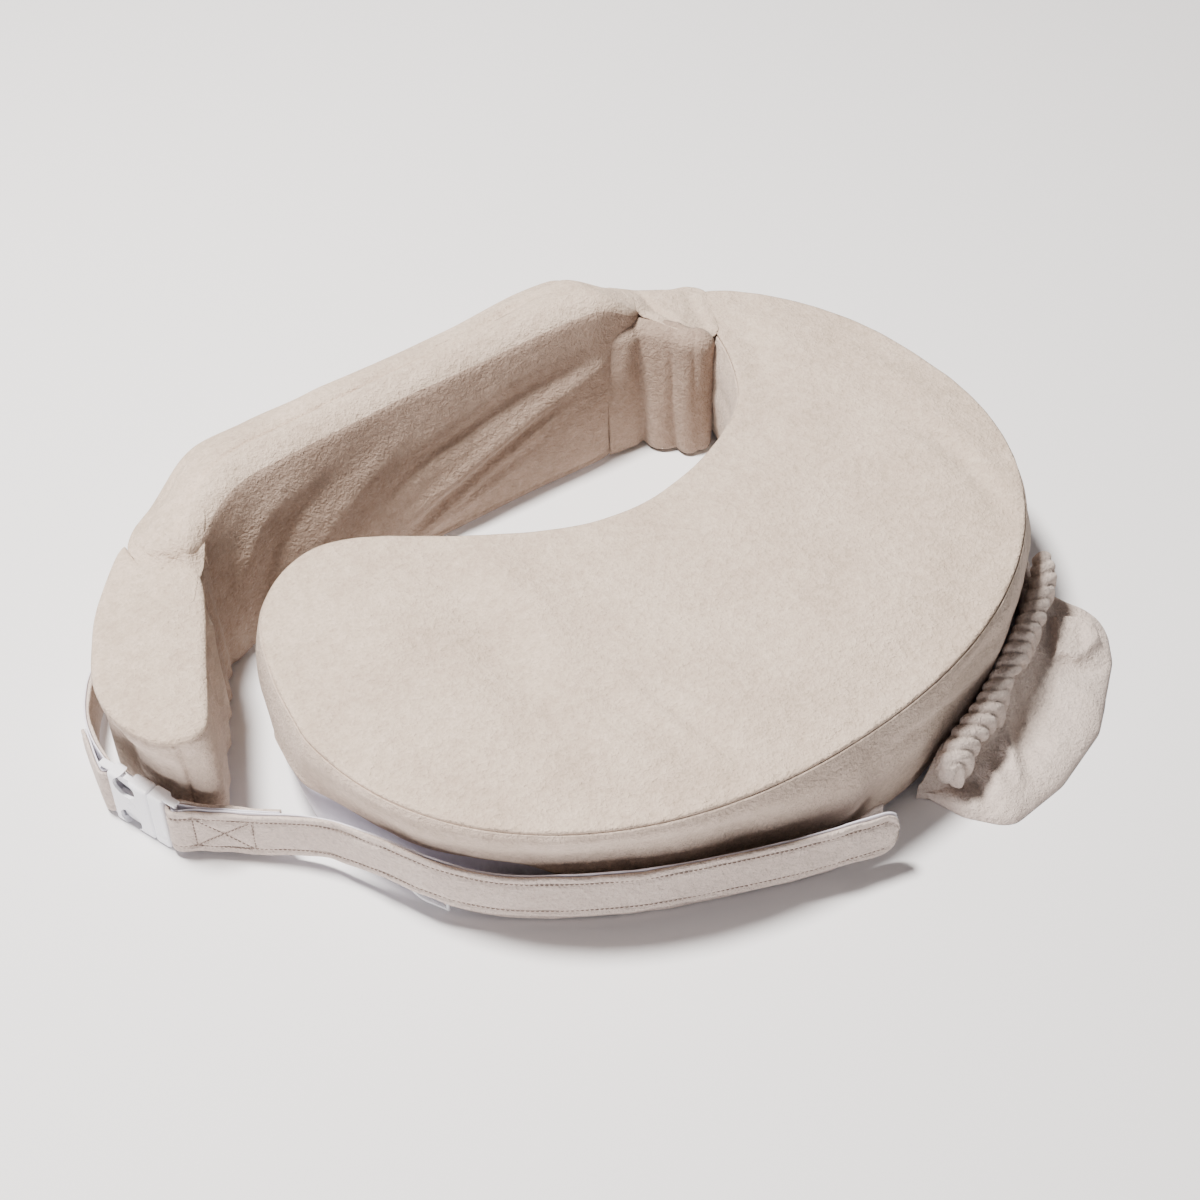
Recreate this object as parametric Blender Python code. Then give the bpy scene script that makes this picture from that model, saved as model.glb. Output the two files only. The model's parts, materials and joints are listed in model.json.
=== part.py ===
"""Nursing pillow: a crescent platform, a two-segment backrest on fabric hinges, and a waist strap with a
side-release buckle. Metres, +Z up. The origin lies on the platform's flat underside, +X runs along the
backrest towards its hinge and +Y points from the platform to the backrest."""

import math

import bmesh
import bpy
import numpy as np
from mathutils import Matrix, Vector

# Driving dimensions, in metres.
GAP = 0.0003  # between pieces that touch
COVER = 0.0030  # thickness of the plush cover
LINER = 0.0020  # thickness of the white under panels
PLATFORM_HEIGHT = 0.108
HEM_HEIGHT = 0.036  # where the plush wall ends and the white panel starts
HALF_WIDTH = 0.287  # of the crescent
FRONT_DEPTH = 0.225  # from the crescent's widest line to its front
WIDEST_Y = 0.020
FRONT_POWER = 2.15  # of the superellipse that is the crescent's front
UNDERCUT = 0.017  # how far the front wall tucks in at its foot
BULGE = 0.0035
BACKREST_HEIGHT = 0.134
BACKREST_SLOPE = 0.207  # fall of the long segment's top towards the rear
BACKREST_CREST_Y = 0.225  # where its top reaches the full height
END_HEIGHT = 0.113
GUSSET_HEIGHT = 0.119
HINGE = (0.125, 0.226)  # backrest swing axis, in plan
HINGE_RADIUS = 0.030
CREASE = (-0.257, 0.225)  # fold axis between the two segments, in plan
CREASE_RADIUS = 0.033
STRAP_WIDTH = 0.044
STRAP_FOOT = 0.0035  # at the buckle
STRAP_LIFT = 0.0075  # the long strap stands this much higher along the platform
STRAP_PLUSH = 0.0020
STRAP_LINING = 0.0012
BUCKLE_WIDTH = 0.050  # vertical: the buckle stands on its edge
BUCKLE_THICK = 0.0120
BUCKLE_FOOT = 0.0005
SOCKET_BAR = (-0.3800, 0.1270)  # bar of the socket, in plan
PLUG_BAR = (-0.3610, 0.0680)  # bar of the plug, in plan
BAR_RADIUS = 0.0016
SOCKET_START = 0.0068  # from a strap bar's middle to the body, so the strap's fold fits between
SOCKET_END = 0.0420
RAIL_BITE = 0.0030  # how far a rail runs into the body it joins
RAIL_THICK = 0.0060
CAVITY_START = 0.0095
CAVITY_THICK = 0.0070
CAVITY_HALF = 0.0215
TONGUE_START = 0.0120
PRONG_THICK = 0.0040
PRONG_SPREAD = 0.0140  # of a prong's root from the buckle's middle
WINDOW_START = 0.0120
WINDOW_LENGTH = 0.0190
WINDOW_DEPTH = 0.0180
ZIP_RISE = 0.034  # up the rear wall
ZIP_LENGTH = 0.250
ZIP_WIDTH = 0.026
ZIP_THICK = 0.0012
ZIP_STAND_OFF = 0.0010
SLIDER_LENGTH = 0.011
SLIDER_WIDTH = 0.0095
SLIDER_THICK = 0.0026
PULL_LENGTH = 0.024
PIN_RADIUS = 0.0008
PIN_HEIGHT = 0.0040
PATCH_THICK = 0.0012
PATCH_START = 0.135  # distances of the hook and loop patches from the strap's tail
PATCH_END = 0.050
LANDING_THICK = 0.0024
LANDING_START = 0.186  # along the strap's route, from the plug's bar
LANDING_RETURN = 0.0150  # its sewn end comes back to the platform's wall
LANDING_TOP = 0.046
LANDING_NECK = 0.0255  # top of its narrow end at the ring
RING_WIRE = 0.0018
RING_REACH = 0.015
RING_BAR = 0.0275
RING_TURN = -13.0  # degrees, towards the platform's wall
END_TUCK = 0.017  # how far the end segment's foot stands back behind the buckle

PLUSH = (0.640, 0.560, 0.500, 1.0)
FOAM = (0.900, 0.870, 0.780, 1.0)
WHITE_CLOTH = (0.780, 0.750, 0.830, 1.0)
WHITE_PLASTIC = (0.850, 0.850, 0.880, 1.0)
HOOK_PILE = (0.760, 0.730, 0.740, 1.0)
TAB_PATH = [SOCKET_BAR, (-0.3765, 0.1500), (-0.3690, 0.1760), (-0.3520, 0.2030), (-0.3290, 0.2250)]
STRAP_PATH = [
    PLUG_BAR,
    (-0.3270, 0.0360),
    (-0.2955, 0.0010),
    (-0.2780, -0.0370),
    (-0.2620, -0.0750),
    (-0.2370, -0.1070),
    (-0.2000, -0.1380),
    (-0.1580, -0.1660),
    (-0.1210, -0.1845),
    (-0.0660, -0.2090),
    (-0.0260, -0.2235),
    (0.0050, -0.2335),
]
BUCKLE_LENGTH = math.dist(SOCKET_BAR, PLUG_BAR)


# ---- scene and materials


def clear_scene():
    for item in list(bpy.data.objects):
        bpy.data.objects.remove(item)


def material(name, colour, roughness, metallic=0.0):
    made = bpy.data.materials.new(name)
    made.use_nodes = True
    shader = made.node_tree.nodes["Principled BSDF"]
    shader.inputs["Base Color"].default_value = colour
    shader.inputs["Roughness"].default_value = roughness
    shader.inputs["Metallic"].default_value = metallic
    return made


def add_object(name, bm, colour, roughness=0.9, origin=(0.0, 0.0, 0.0), matrix=None):
    """Makes a named object whose mesh is given in world places and whose origin is set on `origin`."""
    bmesh.ops.recalc_face_normals(bm, faces=bm.faces)
    if bm.calc_volume(signed=True) < 0.0:
        bmesh.ops.reverse_faces(bm, faces=bm.faces)
    placed = matrix if matrix is not None else Matrix.Translation(Vector(origin))
    bm.transform(placed.inverted())
    mesh = bpy.data.meshes.new(name)
    bm.to_mesh(mesh)
    bm.free()
    mesh.shade_smooth()
    mesh.set_sharp_from_angle(angle=math.radians(35.0))
    item = bpy.data.objects.new(name, mesh)
    item.matrix_world = placed
    item.data.materials.append(material(name, colour, roughness))
    bpy.context.scene.collection.objects.link(item)
    return item


def cut(item, cutters):
    """Takes each cutter out of the item."""
    for index, cutter in enumerate(cutters):
        cutter.hide_render = True
        cutter.display_type = "WIRE"
        carve = item.modifiers.new(f"cut_{index}", "BOOLEAN")
        carve.operation = "DIFFERENCE"
        carve.object = cutter


# ---- plan curves


def smooth_step(value):
    value = np.clip(value, 0.0, 1.0)
    return value * value * (3.0 - 2.0 * value)


def curve_through(points, per_span, closed=False):
    """A Catmull-Rom curve through the given plan points."""
    points = np.array(points, float)
    count = len(points)
    spans = count if closed else count - 1
    made = []
    for i in range(spans):
        if closed:
            before, here, after, beyond = (points[(i + k) % count] for k in (-1, 0, 1, 2))
        else:
            here, after = points[i], points[i + 1]
            before = points[i - 1] if i else 2 * here - after
            beyond = points[i + 2] if i + 2 < count else 2 * after - here
        for step in range(per_span):
            t = step / per_span
            made.append(
                0.5
                * (
                    2 * here
                    + (after - before) * t
                    + (2 * before - 5 * here + 4 * after - beyond) * t**2
                    + (3 * here - before - 3 * after + beyond) * t**3
                )
            )
    if not closed:
        made.append(points[-1])
    return np.array(made)


def arc(centre, radius, start_deg, stop_deg, steps):
    angles = np.radians(np.linspace(start_deg, stop_deg, steps + 1))
    return np.stack([centre[0] + radius * np.cos(angles), centre[1] + radius * np.sin(angles)], 1)


def outward(loop, closed=True):
    """Unit normals on the right-hand side of the path: outward for a counter-clockwise loop."""
    if closed:
        along = np.roll(loop, -1, 0) - np.roll(loop, 1, 0)
    else:
        along = np.gradient(loop, axis=0)
    along /= np.linalg.norm(along, axis=1)[:, None]
    return np.stack([along[:, 1], -along[:, 0]], 1)


def moved_out(loop, distance, closed=True):
    return loop + outward(loop, closed) * np.reshape(distance, (-1, 1))


def lengths_along(path):
    steps = np.linalg.norm(np.diff(path, axis=0), axis=1)
    return np.concatenate([[0.0], np.cumsum(steps)])


def ring_at(loop, heights):
    """Plan loop with a height, or one height per point."""
    return np.column_stack([loop, np.broadcast_to(heights, len(loop))])


# ---- solids


def stacked(rings, turn_from=None):
    """A solid from closed rings of equal length, one after the other, with a flat cap at each end. The
    side faces are triangles, and past the index `turn_from` their diagonal runs the other way."""
    bm = bmesh.new()
    made = [[bm.verts.new(point) for point in ring] for ring in rings]
    count = len(made[0])
    for low, high in zip(made, made[1:]):
        for i in range(count):
            j = (i + 1) % count
            if turn_from is not None and i >= turn_from:
                bm.faces.new((low[i], low[j], high[i]))
                bm.faces.new((low[j], high[j], high[i]))
            else:
                bm.faces.new((low[i], low[j], high[j]))
                bm.faces.new((low[i], high[j], high[i]))
    caps = [bm.faces.new(list(reversed(made[0]))), bm.faces.new(made[-1])]
    bmesh.ops.triangulate(bm, faces=caps)
    return bm


def wall_between(outer, inner, indices):
    """A thin wall from lists of rings, outside and inside, over a run of point indices."""
    sections = []
    for i in indices:
        sections.append([ring[i] for ring in outer] + [ring[i] for ring in reversed(inner)])
    return stacked(sections, turn_from=len(outer))


def counter_clockwise(plan):
    x, y = np.asarray(plan).T
    area = np.sum(x * np.roll(y, -1) - np.roll(x, -1) * y)
    return plan if area > 0.0 else plan[::-1]


def ribbon(path, half_thick, low, high):
    """A strap standing on its edge along an open plan path, with heights that may vary along it."""
    left = moved_out(path, -half_thick, closed=False)
    right = moved_out(path, half_thick, closed=False)
    low = np.broadcast_to(low, len(path))
    high = np.broadcast_to(high, len(path))
    sections = []
    for i in range(len(path)):
        sections.append(
            [
                (*left[i], low[i]),
                (*right[i], low[i]),
                (*right[i], high[i]),
                (*left[i], high[i]),
            ]
        )
    return stacked(sections)


def box(size, centre):
    bm = bmesh.new()
    bmesh.ops.create_cube(bm, size=1.0)
    bmesh.ops.scale(bm, vec=Vector(size), verts=bm.verts)
    bmesh.ops.translate(bm, vec=Vector(centre), verts=bm.verts)
    return bm


def rounded_box(size, centre, radius, segments=2):
    bm = box(size, centre)
    bmesh.ops.bevel(bm, geom=bm.edges[:], offset=radius, segments=segments, affect="EDGES", profile=0.5)
    return bm


def rod(radius, length, matrix, segments=16):
    bm = bmesh.new()
    bmesh.ops.create_cone(
        bm, cap_ends=True, segments=segments, radius1=radius, radius2=radius, depth=length, matrix=matrix
    )
    return bm


# ---- platform


def platform_outline():
    """The crescent's top seam, counter-clockwise from its widest point on the left, and its waist part.
    Returns the loop, the number of points on the outside, and how much the wall tucks in at each point."""
    angles = np.linspace(math.pi, 2.0 * math.pi, 33)
    cosines = np.cos(angles)
    front = np.stack(
        [
            HALF_WIDTH * np.sign(cosines) * np.abs(cosines) ** (2.0 / FRONT_POWER),
            WIDEST_Y - FRONT_DEPTH * np.abs(np.sin(angles)) ** (2.0 / FRONT_POWER),
        ],
        1,
    )
    far_lobe = [(0.2845, 0.0620), (0.2760, 0.1040), (0.2590, 0.1450), (0.2380, 0.1770), (0.2130, 0.2010)]
    waist = [
        (0.1960, 0.2030),
        (0.1855, 0.1760),
        (0.1700, 0.1320),
        (0.1430, 0.0910),
        (0.1040, 0.0680),
        (0.0600, 0.0545),
        (0.0100, 0.0510),
        (-0.0440, 0.0680),
        (-0.1020, 0.1060),
        (-0.1500, 0.1430),
    ]
    near_lobe = [(-0.1870, 0.1580), (-0.2260, 0.1480), (-0.2560, 0.1200), (-0.2760, 0.0720)]
    rest = curve_through([tuple(front[-1])] + far_lobe + waist + near_lobe + [tuple(front[0])], 3)
    loop = np.concatenate([front, rest[1:-1]])
    first_waist = len(front) - 1 + 3 * (len(far_lobe) + 1)
    last_waist = first_waist + 3 * len(waist)
    tuck = smooth_step((0.120 - loop[:, 1]) / 0.100) * smooth_step((0.010 - loop[:, 0]) / 0.110)
    tuck[first_waist - 3 : last_waist + 1] = 0.0
    return loop, first_waist, last_waist, tuck


def platform_side(loop, tuck, height, inward=0.0):
    """The platform's outer surface at a height, moved in by a distance."""
    share = np.clip((height - 0.030) / (PLATFORM_HEIGHT - 0.032), 0.0, 1.0)
    bulge = BULGE * math.sin(math.pi * share) - 0.004 * (1.0 - smooth_step(height / 0.030))
    tucked = UNDERCUT * smooth_step((0.088 - height) / 0.028)
    return ring_at(moved_out(loop, bulge - tucked * tuck - inward), height)


def build_platform():
    loop, first_waist, last_waist, tuck = platform_outline()
    panel_foot = PLATFORM_HEIGHT - COVER
    heights = [HEM_HEIGHT, 0.050, 0.062, 0.078, 0.094, panel_foot - GAP]
    outer = [platform_side(loop, tuck, z) for z in heights]
    inner = [platform_side(loop, tuck, z, COVER) for z in heights]
    count = len(loop)
    around = [i % count for i in range(last_waist, count + first_waist + 1)]
    add_object("platform_outer_wall", wall_between(outer, inner, around), PLUSH)
    waist_run = range(first_waist + 1, last_waist)
    add_object("platform_waist_wall", wall_between(outer, inner, waist_run), PLUSH)

    inside = COVER + GAP
    foam = [platform_side(loop, tuck, LINER + GAP, inside + LINER + 2 * GAP)]
    foam += [platform_side(loop, tuck, HEM_HEIGHT - GAP, inside + LINER + 2 * GAP)]
    foam += [platform_side(loop, tuck, z, inside + GAP) for z in heights[:-1]]
    foam += [platform_side(loop, tuck, panel_foot - GAP, inside + 2 * GAP)]
    add_object("platform_foam", stacked(foam), FOAM, 0.95)

    top = [
        platform_side(loop, tuck, panel_foot, 0.0),
        platform_side(loop, tuck, panel_foot + 0.0016, 0.0),
        platform_side(loop, tuck, PLATFORM_HEIGHT, 0.0025),
    ]
    add_object("platform_top_panel", stacked(top), PLUSH)

    tray = [
        platform_side(loop, tuck, 0.0, inside),
        platform_side(loop, tuck, HEM_HEIGHT - GAP, inside),
        platform_side(loop, tuck, HEM_HEIGHT - GAP, inside + LINER),
        platform_side(loop, tuck, LINER, inside + LINER),
    ]
    add_object("platform_base_panel", stacked(tray), WHITE_CLOTH)
    return loop, tuck


def build_gusset():
    """The fabric between the platform's far end and the backrest's end, hollowed round the swing axis."""
    hollow = arc(HINGE, HINGE_RADIUS + 0.0008, -84.0, 8.0, 9)
    wall_side = [(0.1915, 0.2085), (0.1840, 0.1880), (0.1790, 0.1735), (0.1705, 0.1500)]
    waist_side = [(0.1600, 0.1480), (0.1480, 0.1600), (0.1380, 0.1760)]
    plan = counter_clockwise(np.array([*hollow.tolist(), *wall_side, *waist_side]))
    rings = [
        ring_at(moved_out(plan, -0.0005), 0.0015),
        ring_at(plan, 0.006),
        ring_at(plan, GUSSET_HEIGHT - 0.005),
        ring_at(moved_out(plan, -0.0020), GUSSET_HEIGHT),
    ]
    add_object("hinge_gusset", stacked(rings), PLUSH)


# ---- backrest


def backrest_outline(top):
    """The long segment in plan, counter-clockwise: round at the hinge, along the rear, round at the
    crease and back along the waist side. It leans back, so its top lies further to the rear."""
    hinge_end = arc(HINGE, HINGE_RADIUS, -90.0, 90.0, 12)
    crease_end = arc(CREASE, CREASE_RADIUS, 90.0, 270.0, 12)
    if top:
        rear = [(0.100, 0.2700), (-0.050, 0.2785), (-0.200, 0.2870), (-0.228, 0.2760)]
        waist = [(-0.225, 0.2150), (-0.190, 0.2280), (-0.060, 0.2280), (0.030, 0.2210), (0.095, 0.2080)]
    else:
        rear = [(0.100, 0.2450), (-0.050, 0.2535), (-0.200, 0.2620), (-0.228, 0.2610)]
        waist = [(-0.225, 0.1920), (-0.190, 0.1950), (-0.060, 0.1975), (0.030, 0.1935), (0.095, 0.1870)]
    return np.array([*hinge_end.tolist(), *rear, *crease_end.tolist(), *waist])


def build_backrest():
    low = backrest_outline(top=False)
    high = backrest_outline(top=True)
    normals = outward((low + high) / 2)
    top_heights = BACKREST_HEIGHT - BACKREST_SLOPE * (high[:, 1] - BACKREST_CREST_Y)

    def side(share, inward=0.0):
        plan = low + (high - low) * share - normals * inward
        return ring_at(plan, share * top_heights)

    panel_share = 1.0 - COVER / BACKREST_HEIGHT
    under_panel = panel_share - 0.005
    wall_foot = 0.024
    outer = [side(share) for share in (wall_foot, under_panel)]
    inner = [side(share, COVER) for share in (wall_foot, under_panel)]
    rear_run = range(1, 18)
    waist_run = [*range(29, len(low)), 0]
    add_object("backrest_outer_wall", wall_between(outer, inner, rear_run), PLUSH)
    add_object("backrest_inner_wall", wall_between(outer, inner, waist_run), PLUSH)

    inside = COVER + 2 * GAP
    foam = [side(share, inside) for share in (wall_foot, under_panel - 0.008)]
    add_object("backrest_foam", stacked(foam), FOAM, 0.95)
    top = [side(panel_share), side(panel_share + 0.010), side(1.0, 0.0025)]
    add_object("backrest_top_panel", stacked(top), PLUSH)
    base = [ring_at(low - normals * 0.002, 0.0), ring_at(low - normals * 0.0005, 0.0024)]
    add_object("backrest_base_panel", stacked(base), WHITE_CLOTH)


def end_outline():
    """The end segment in plan, counter-clockwise from its rear corner at the crease."""
    reach = CREASE_RADIUS + 0.0010
    hollow = arc(CREASE, reach, 262.0, 160.0, 9)
    outer_side = [
        (-0.3010, 0.2300),
        (-0.3340, 0.1970),
        (-0.3530, 0.1700),
        (-0.3700, 0.1380),
        (-0.3745, 0.1060),
        (-0.3660, 0.0740),
        (-0.3490, 0.0590),
        (-0.3310, 0.0610),
        (-0.3190, 0.0780),
        (-0.2990, 0.1130),
        (-0.2800, 0.1450),
        (-0.2665, 0.1720),
    ]
    side = curve_through([tuple(hollow[-1])] + outer_side + [tuple(hollow[0])], 2)
    loop = np.concatenate([side, hollow[1:-1]])
    return loop, len(side)


def end_side(loop, height, inward=0.0):
    tuck = smooth_step((-0.325 - loop[:, 0]) / 0.020) * smooth_step((0.165 - loop[:, 1]) / 0.035)
    tucked = END_TUCK * smooth_step((0.086 - height) / 0.028) * tuck
    return ring_at(moved_out(loop, -tucked - inward), height)


def build_end():
    loop, side_count = end_outline()
    panel_foot = END_HEIGHT - COVER
    base_top = 0.0025
    heights = [base_top + GAP, 0.058, 0.072, 0.086, panel_foot - GAP]
    outer = [end_side(loop, z) for z in heights]
    inner = [end_side(loop, z, COVER) for z in heights]
    add_object("end_wall", wall_between(outer, inner, range(1, side_count - 1)), PLUSH)
    foam = [end_side(loop, z, COVER + 2 * GAP) for z in heights]
    add_object("end_foam", stacked(foam), FOAM, 0.95)
    top = [
        ring_at(loop, panel_foot),
        ring_at(loop, panel_foot + 0.0016),
        ring_at(moved_out(loop, -0.0025), END_HEIGHT),
    ]
    add_object("end_top_panel", stacked(top), PLUSH)
    base = [end_side(loop, 0.0, 0.002), end_side(loop, base_top, 0.0005)]
    add_object("end_base_panel", stacked(base), WHITE_CLOTH)


# ---- zip in the backrest's rear wall


def zip_frame():
    """Axes at the middle of the zip: along it, out of the wall, and up the wall."""
    start = Vector((-0.200, 0.2620, 0.0))
    stop = Vector((0.100, 0.2450, 0.0))
    along = (stop - start).normalized()
    up = Vector((0.0, 0.0250, 0.122)).normalized()
    out = up.cross(along).normalized()
    up = along.cross(out).normalized()
    middle = start.lerp(stop, 0.5) + up * ZIP_RISE
    frame = Matrix((along, out, up)).transposed().to_4x4()
    frame.translation = middle
    return frame


def slider_place():
    """The slider rests near the zip's closed end, by the hinge."""
    return zip_frame() @ Matrix.Translation(Vector((ZIP_LENGTH / 2 - 0.012, ZIP_STAND_OFF + ZIP_THICK, 0.0)))


def placed(bm, matrix):
    bm.transform(matrix)
    return bm


def union(name, pieces, colour, roughness, matrix):
    """One body made of several overlapping ones, given in the frame of the matrix."""
    first, *others = pieces
    item = add_object(name, placed(first, matrix), colour, roughness, matrix=matrix)
    for index, bm in enumerate(others):
        helper = add_object(f"{name}_join_{index}", placed(bm, matrix), colour, roughness, matrix=matrix)
        helper.hide_render = True
        helper.display_type = "WIRE"
        join = item.modifiers.new(f"join_{index}", "BOOLEAN")
        join.operation = "UNION"
        join.object = helper
    return item


def build_zip():
    frame = zip_frame()
    tape = rounded_box((ZIP_LENGTH, ZIP_THICK, ZIP_WIDTH), (0.0, ZIP_STAND_OFF + ZIP_THICK / 2, 0.0), 0.0003, 1)
    add_object("zip_tape", placed(tape, frame), WHITE_CLOTH, matrix=frame)

    place = slider_place()
    lug = 0.0014
    lug_reach = 0.0052
    plate = rounded_box((SLIDER_LENGTH, SLIDER_THICK, SLIDER_WIDTH), (0.0, GAP + SLIDER_THICK / 2, 0.0), 0.0006)
    pin_out = GAP + SLIDER_THICK + 0.0030
    pieces = [plate]
    for side in (-1, 1):
        centre = (0.0, GAP + SLIDER_THICK - 0.0006 + lug_reach / 2, side * (PIN_HEIGHT / 2 + lug / 2))
        pieces.append(box((0.0050, lug_reach, lug), centre))
    pieces.append(rod(PIN_RADIUS, PIN_HEIGHT + lug, Matrix.Translation(Vector((0.0, pin_out, 0.0))), 12))
    union("zip_slider", pieces, WHITE_PLASTIC, 0.35, place)

    pivot = place @ Matrix.Translation(Vector((0.0, pin_out, 0.0)))
    eye_height = PIN_HEIGHT - 0.0008
    eye = rod(0.0021, eye_height, Matrix.Identity(4), 20)
    arm = rounded_box((PULL_LENGTH, 0.0015, eye_height), (-PULL_LENGTH / 2 - 0.0012, 0.0, 0.0), 0.0005)
    pull = union("zip_pull", [arm, eye], WHITE_PLASTIC, 0.35, pivot)
    hole = add_object(
        "zip_pull_hole", placed(rod(PIN_RADIUS + 0.0003, 0.01, Matrix.Identity(4), 20), pivot), WHITE_PLASTIC
    )
    cut(pull, [hole])


# ---- straps


def folded_path(route, bar, inner_length, radius, rest_offset, closing=0.016):
    """Plan path of one strap layer that is folded round a bar: a short leg on the inside of the route,
    half a turn round the bar, then a leg along the whole route on its outside."""
    lengths = lengths_along(route)
    spread = rest_offset + (radius - rest_offset) * (1.0 - smooth_step(lengths / closing))
    outer_leg = moved_out(route, spread, closed=False)
    keep = lengths <= inner_length
    inner_leg = moved_out(route, -spread, closed=False)[keep]
    start = route[1] - route[0]
    heading = math.degrees(math.atan2(start[1], start[0]))
    half_turn = arc(bar, radius, heading + 90.0, heading + 270.0, 8)
    return np.concatenate([inner_leg[:0:-1], half_turn, outer_leg[1:]])


def strap_layers(radius_gap=0.0005):
    """Middle lines of the lining and the plush: how far from the bar, and from the route further on."""
    lining_bar = BAR_RADIUS + radius_gap + STRAP_LINING / 2
    plush_bar = lining_bar + STRAP_LINING / 2 + GAP + STRAP_PLUSH / 2
    lining_rest = STRAP_LINING / 2 + GAP / 2
    plush_rest = STRAP_LINING + GAP * 1.5 + STRAP_PLUSH / 2
    return (lining_bar, lining_rest), (plush_bar, plush_rest)


def strap_foot(path):
    """The strap rests low at the buckle and stands higher along the platform."""
    return STRAP_FOOT + STRAP_LIFT * smooth_step((0.040 - path[:, 1]) / 0.070)


def build_strap():
    route = curve_through(STRAP_PATH, 5)
    sewn = 0.070
    origin = (*PLUG_BAR, 0.0)
    (lining_bar, lining_rest), (plush_bar, plush_rest) = strap_layers()
    for name, bar, rest, thick, colour in (
        ("strap_lining", lining_bar, lining_rest, STRAP_LINING, WHITE_CLOTH),
        ("strap_plush", plush_bar, plush_rest, STRAP_PLUSH, PLUSH),
    ):
        path = folded_path(route, PLUG_BAR, sewn, bar, rest)
        foot = strap_foot(path)
        add_object(name, ribbon(path, thick / 2, foot, foot + STRAP_WIDTH), colour, origin=origin)

    lengths = lengths_along(route)
    total = lengths[-1]
    on_patch = (lengths > total - PATCH_START) & (lengths < total - PATCH_END)
    low = STRAP_FOOT + STRAP_LIFT + 0.004
    high = STRAP_FOOT + STRAP_WIDTH - 0.006
    hook = moved_out(route, -(GAP + PATCH_THICK / 2), closed=False)[on_patch]
    add_object("hook_patch", ribbon(hook, PATCH_THICK / 2, low, high), HOOK_PILE, origin=origin)
    pile = moved_out(route, -(2 * GAP + PATCH_THICK * 1.5), closed=False)[on_patch]
    add_object("loop_patch", ribbon(pile, PATCH_THICK / 2, low, high), HOOK_PILE)
    return route, lengths


def build_landing(route, lengths):
    """The landing strap lies inside the long strap and narrows to the fold that holds the ring."""
    total = lengths[-1]
    to_wall = LANDING_RETURN * smooth_step((lengths - total + 0.045) / 0.045)
    offset = -(3 * GAP + 2 * PATCH_THICK + LANDING_THICK / 2) - to_wall
    chosen = lengths > LANDING_START
    path = moved_out(route, offset, closed=False)[chosen]
    run = lengths_along(path)
    narrow = 1.0 - smooth_step((run - 0.010) / 0.035)
    low = 0.0012 + 0.0045 * narrow
    high = LANDING_TOP - (LANDING_TOP - LANDING_NECK) * narrow
    body = ribbon(path, LANDING_THICK / 2, low, high)
    add_object("landing_strap", body, PLUSH)
    ahead = path[0] - path[1]
    ahead /= np.linalg.norm(ahead)
    fold_radius = RING_WIRE + 0.0006
    bar = path[0] + ahead * (fold_radius + 0.0004)
    return bar, math.degrees(math.atan2(ahead[1], ahead[0])) + RING_TURN


def build_ring(bar, heading):
    """A D-ring: a straight bar in the landing strap's folded end and a bow in the strap's own plane."""
    foot = RING_WIRE + 0.0004
    top = foot + RING_BAR
    radius = (top - foot) / 2
    middle = (top + foot) / 2
    profile = [(0.0, foot), (0.0, (foot + top) / 2), (0.0, top)]
    bow = arc((RING_REACH, middle), radius, 90.0, -90.0, 14)
    profile += bow.tolist()
    curve = bpy.data.curves.new("strap_ring", "CURVE")
    curve.dimensions = "3D"
    curve.bevel_depth = RING_WIRE
    curve.bevel_resolution = 2
    line = curve.splines.new("POLY")
    line.points.add(len(profile) - 1)
    for point, (x, z) in zip(line.points, profile):
        point.co = (x, 0.0, z, 1.0)
    line.use_cyclic_u = True
    item = bpy.data.objects.new("strap_ring", curve)
    item.location = (bar[0], bar[1], 0.0)
    item.rotation_euler = (0.0, 0.0, math.radians(heading))
    curve.materials.append(material("strap_ring", WHITE_PLASTIC, 0.25))
    bpy.context.scene.collection.objects.link(item)


def build_tab():
    """The short strap from the end segment's rear wall, folded round the socket's bar."""
    route = curve_through(TAB_PATH, 5)
    sewn = 0.040
    closing = 0.030
    (lining_bar, lining_rest), (plush_bar, plush_rest) = strap_layers()
    top = STRAP_FOOT + STRAP_WIDTH
    lining = folded_path(route, SOCKET_BAR, sewn, lining_bar, lining_rest, closing)
    plush = folded_path(route, SOCKET_BAR, sewn, plush_bar, plush_rest, closing)
    add_object("tab_lining", ribbon(lining, STRAP_LINING / 2, STRAP_FOOT, top), WHITE_CLOTH)
    add_object("tab_plush", ribbon(plush, STRAP_PLUSH / 2, STRAP_FOOT, top), PLUSH)


# ---- buckle


def buckle_frame():
    """Axes at the socket's bar: along the buckle towards the plug's bar, out, and up."""
    along = Vector((PLUG_BAR[0] - SOCKET_BAR[0], PLUG_BAR[1] - SOCKET_BAR[1], 0.0)).normalized()
    up = Vector((0.0, 0.0, 1.0))
    out = up.cross(along)
    frame = Matrix((along, out, up)).transposed().to_4x4()
    frame.translation = Vector((*SOCKET_BAR, BUCKLE_FOOT + BUCKLE_WIDTH / 2))
    return frame


def bar_and_rails(bar_at, body_at):
    """The strap bar at one end of a buckle half, and the two rails that join it to the body."""
    past = 0.0026
    way = 1.0 if body_at > bar_at else -1.0
    start = bar_at - way * past
    stop = body_at + way * RAIL_BITE
    pieces = [rod(BAR_RADIUS, BUCKLE_WIDTH - 0.0015, Matrix.Translation(Vector((bar_at, 0.0, 0.0))), 14)]
    for side in (-1, 1):
        middle = ((start + stop) / 2, 0.0, side * (BUCKLE_WIDTH / 2 - 0.0011))
        pieces.append(rounded_box((abs(stop - start), RAIL_THICK, 0.0018), middle, 0.0004, 1))
    return pieces


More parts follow.
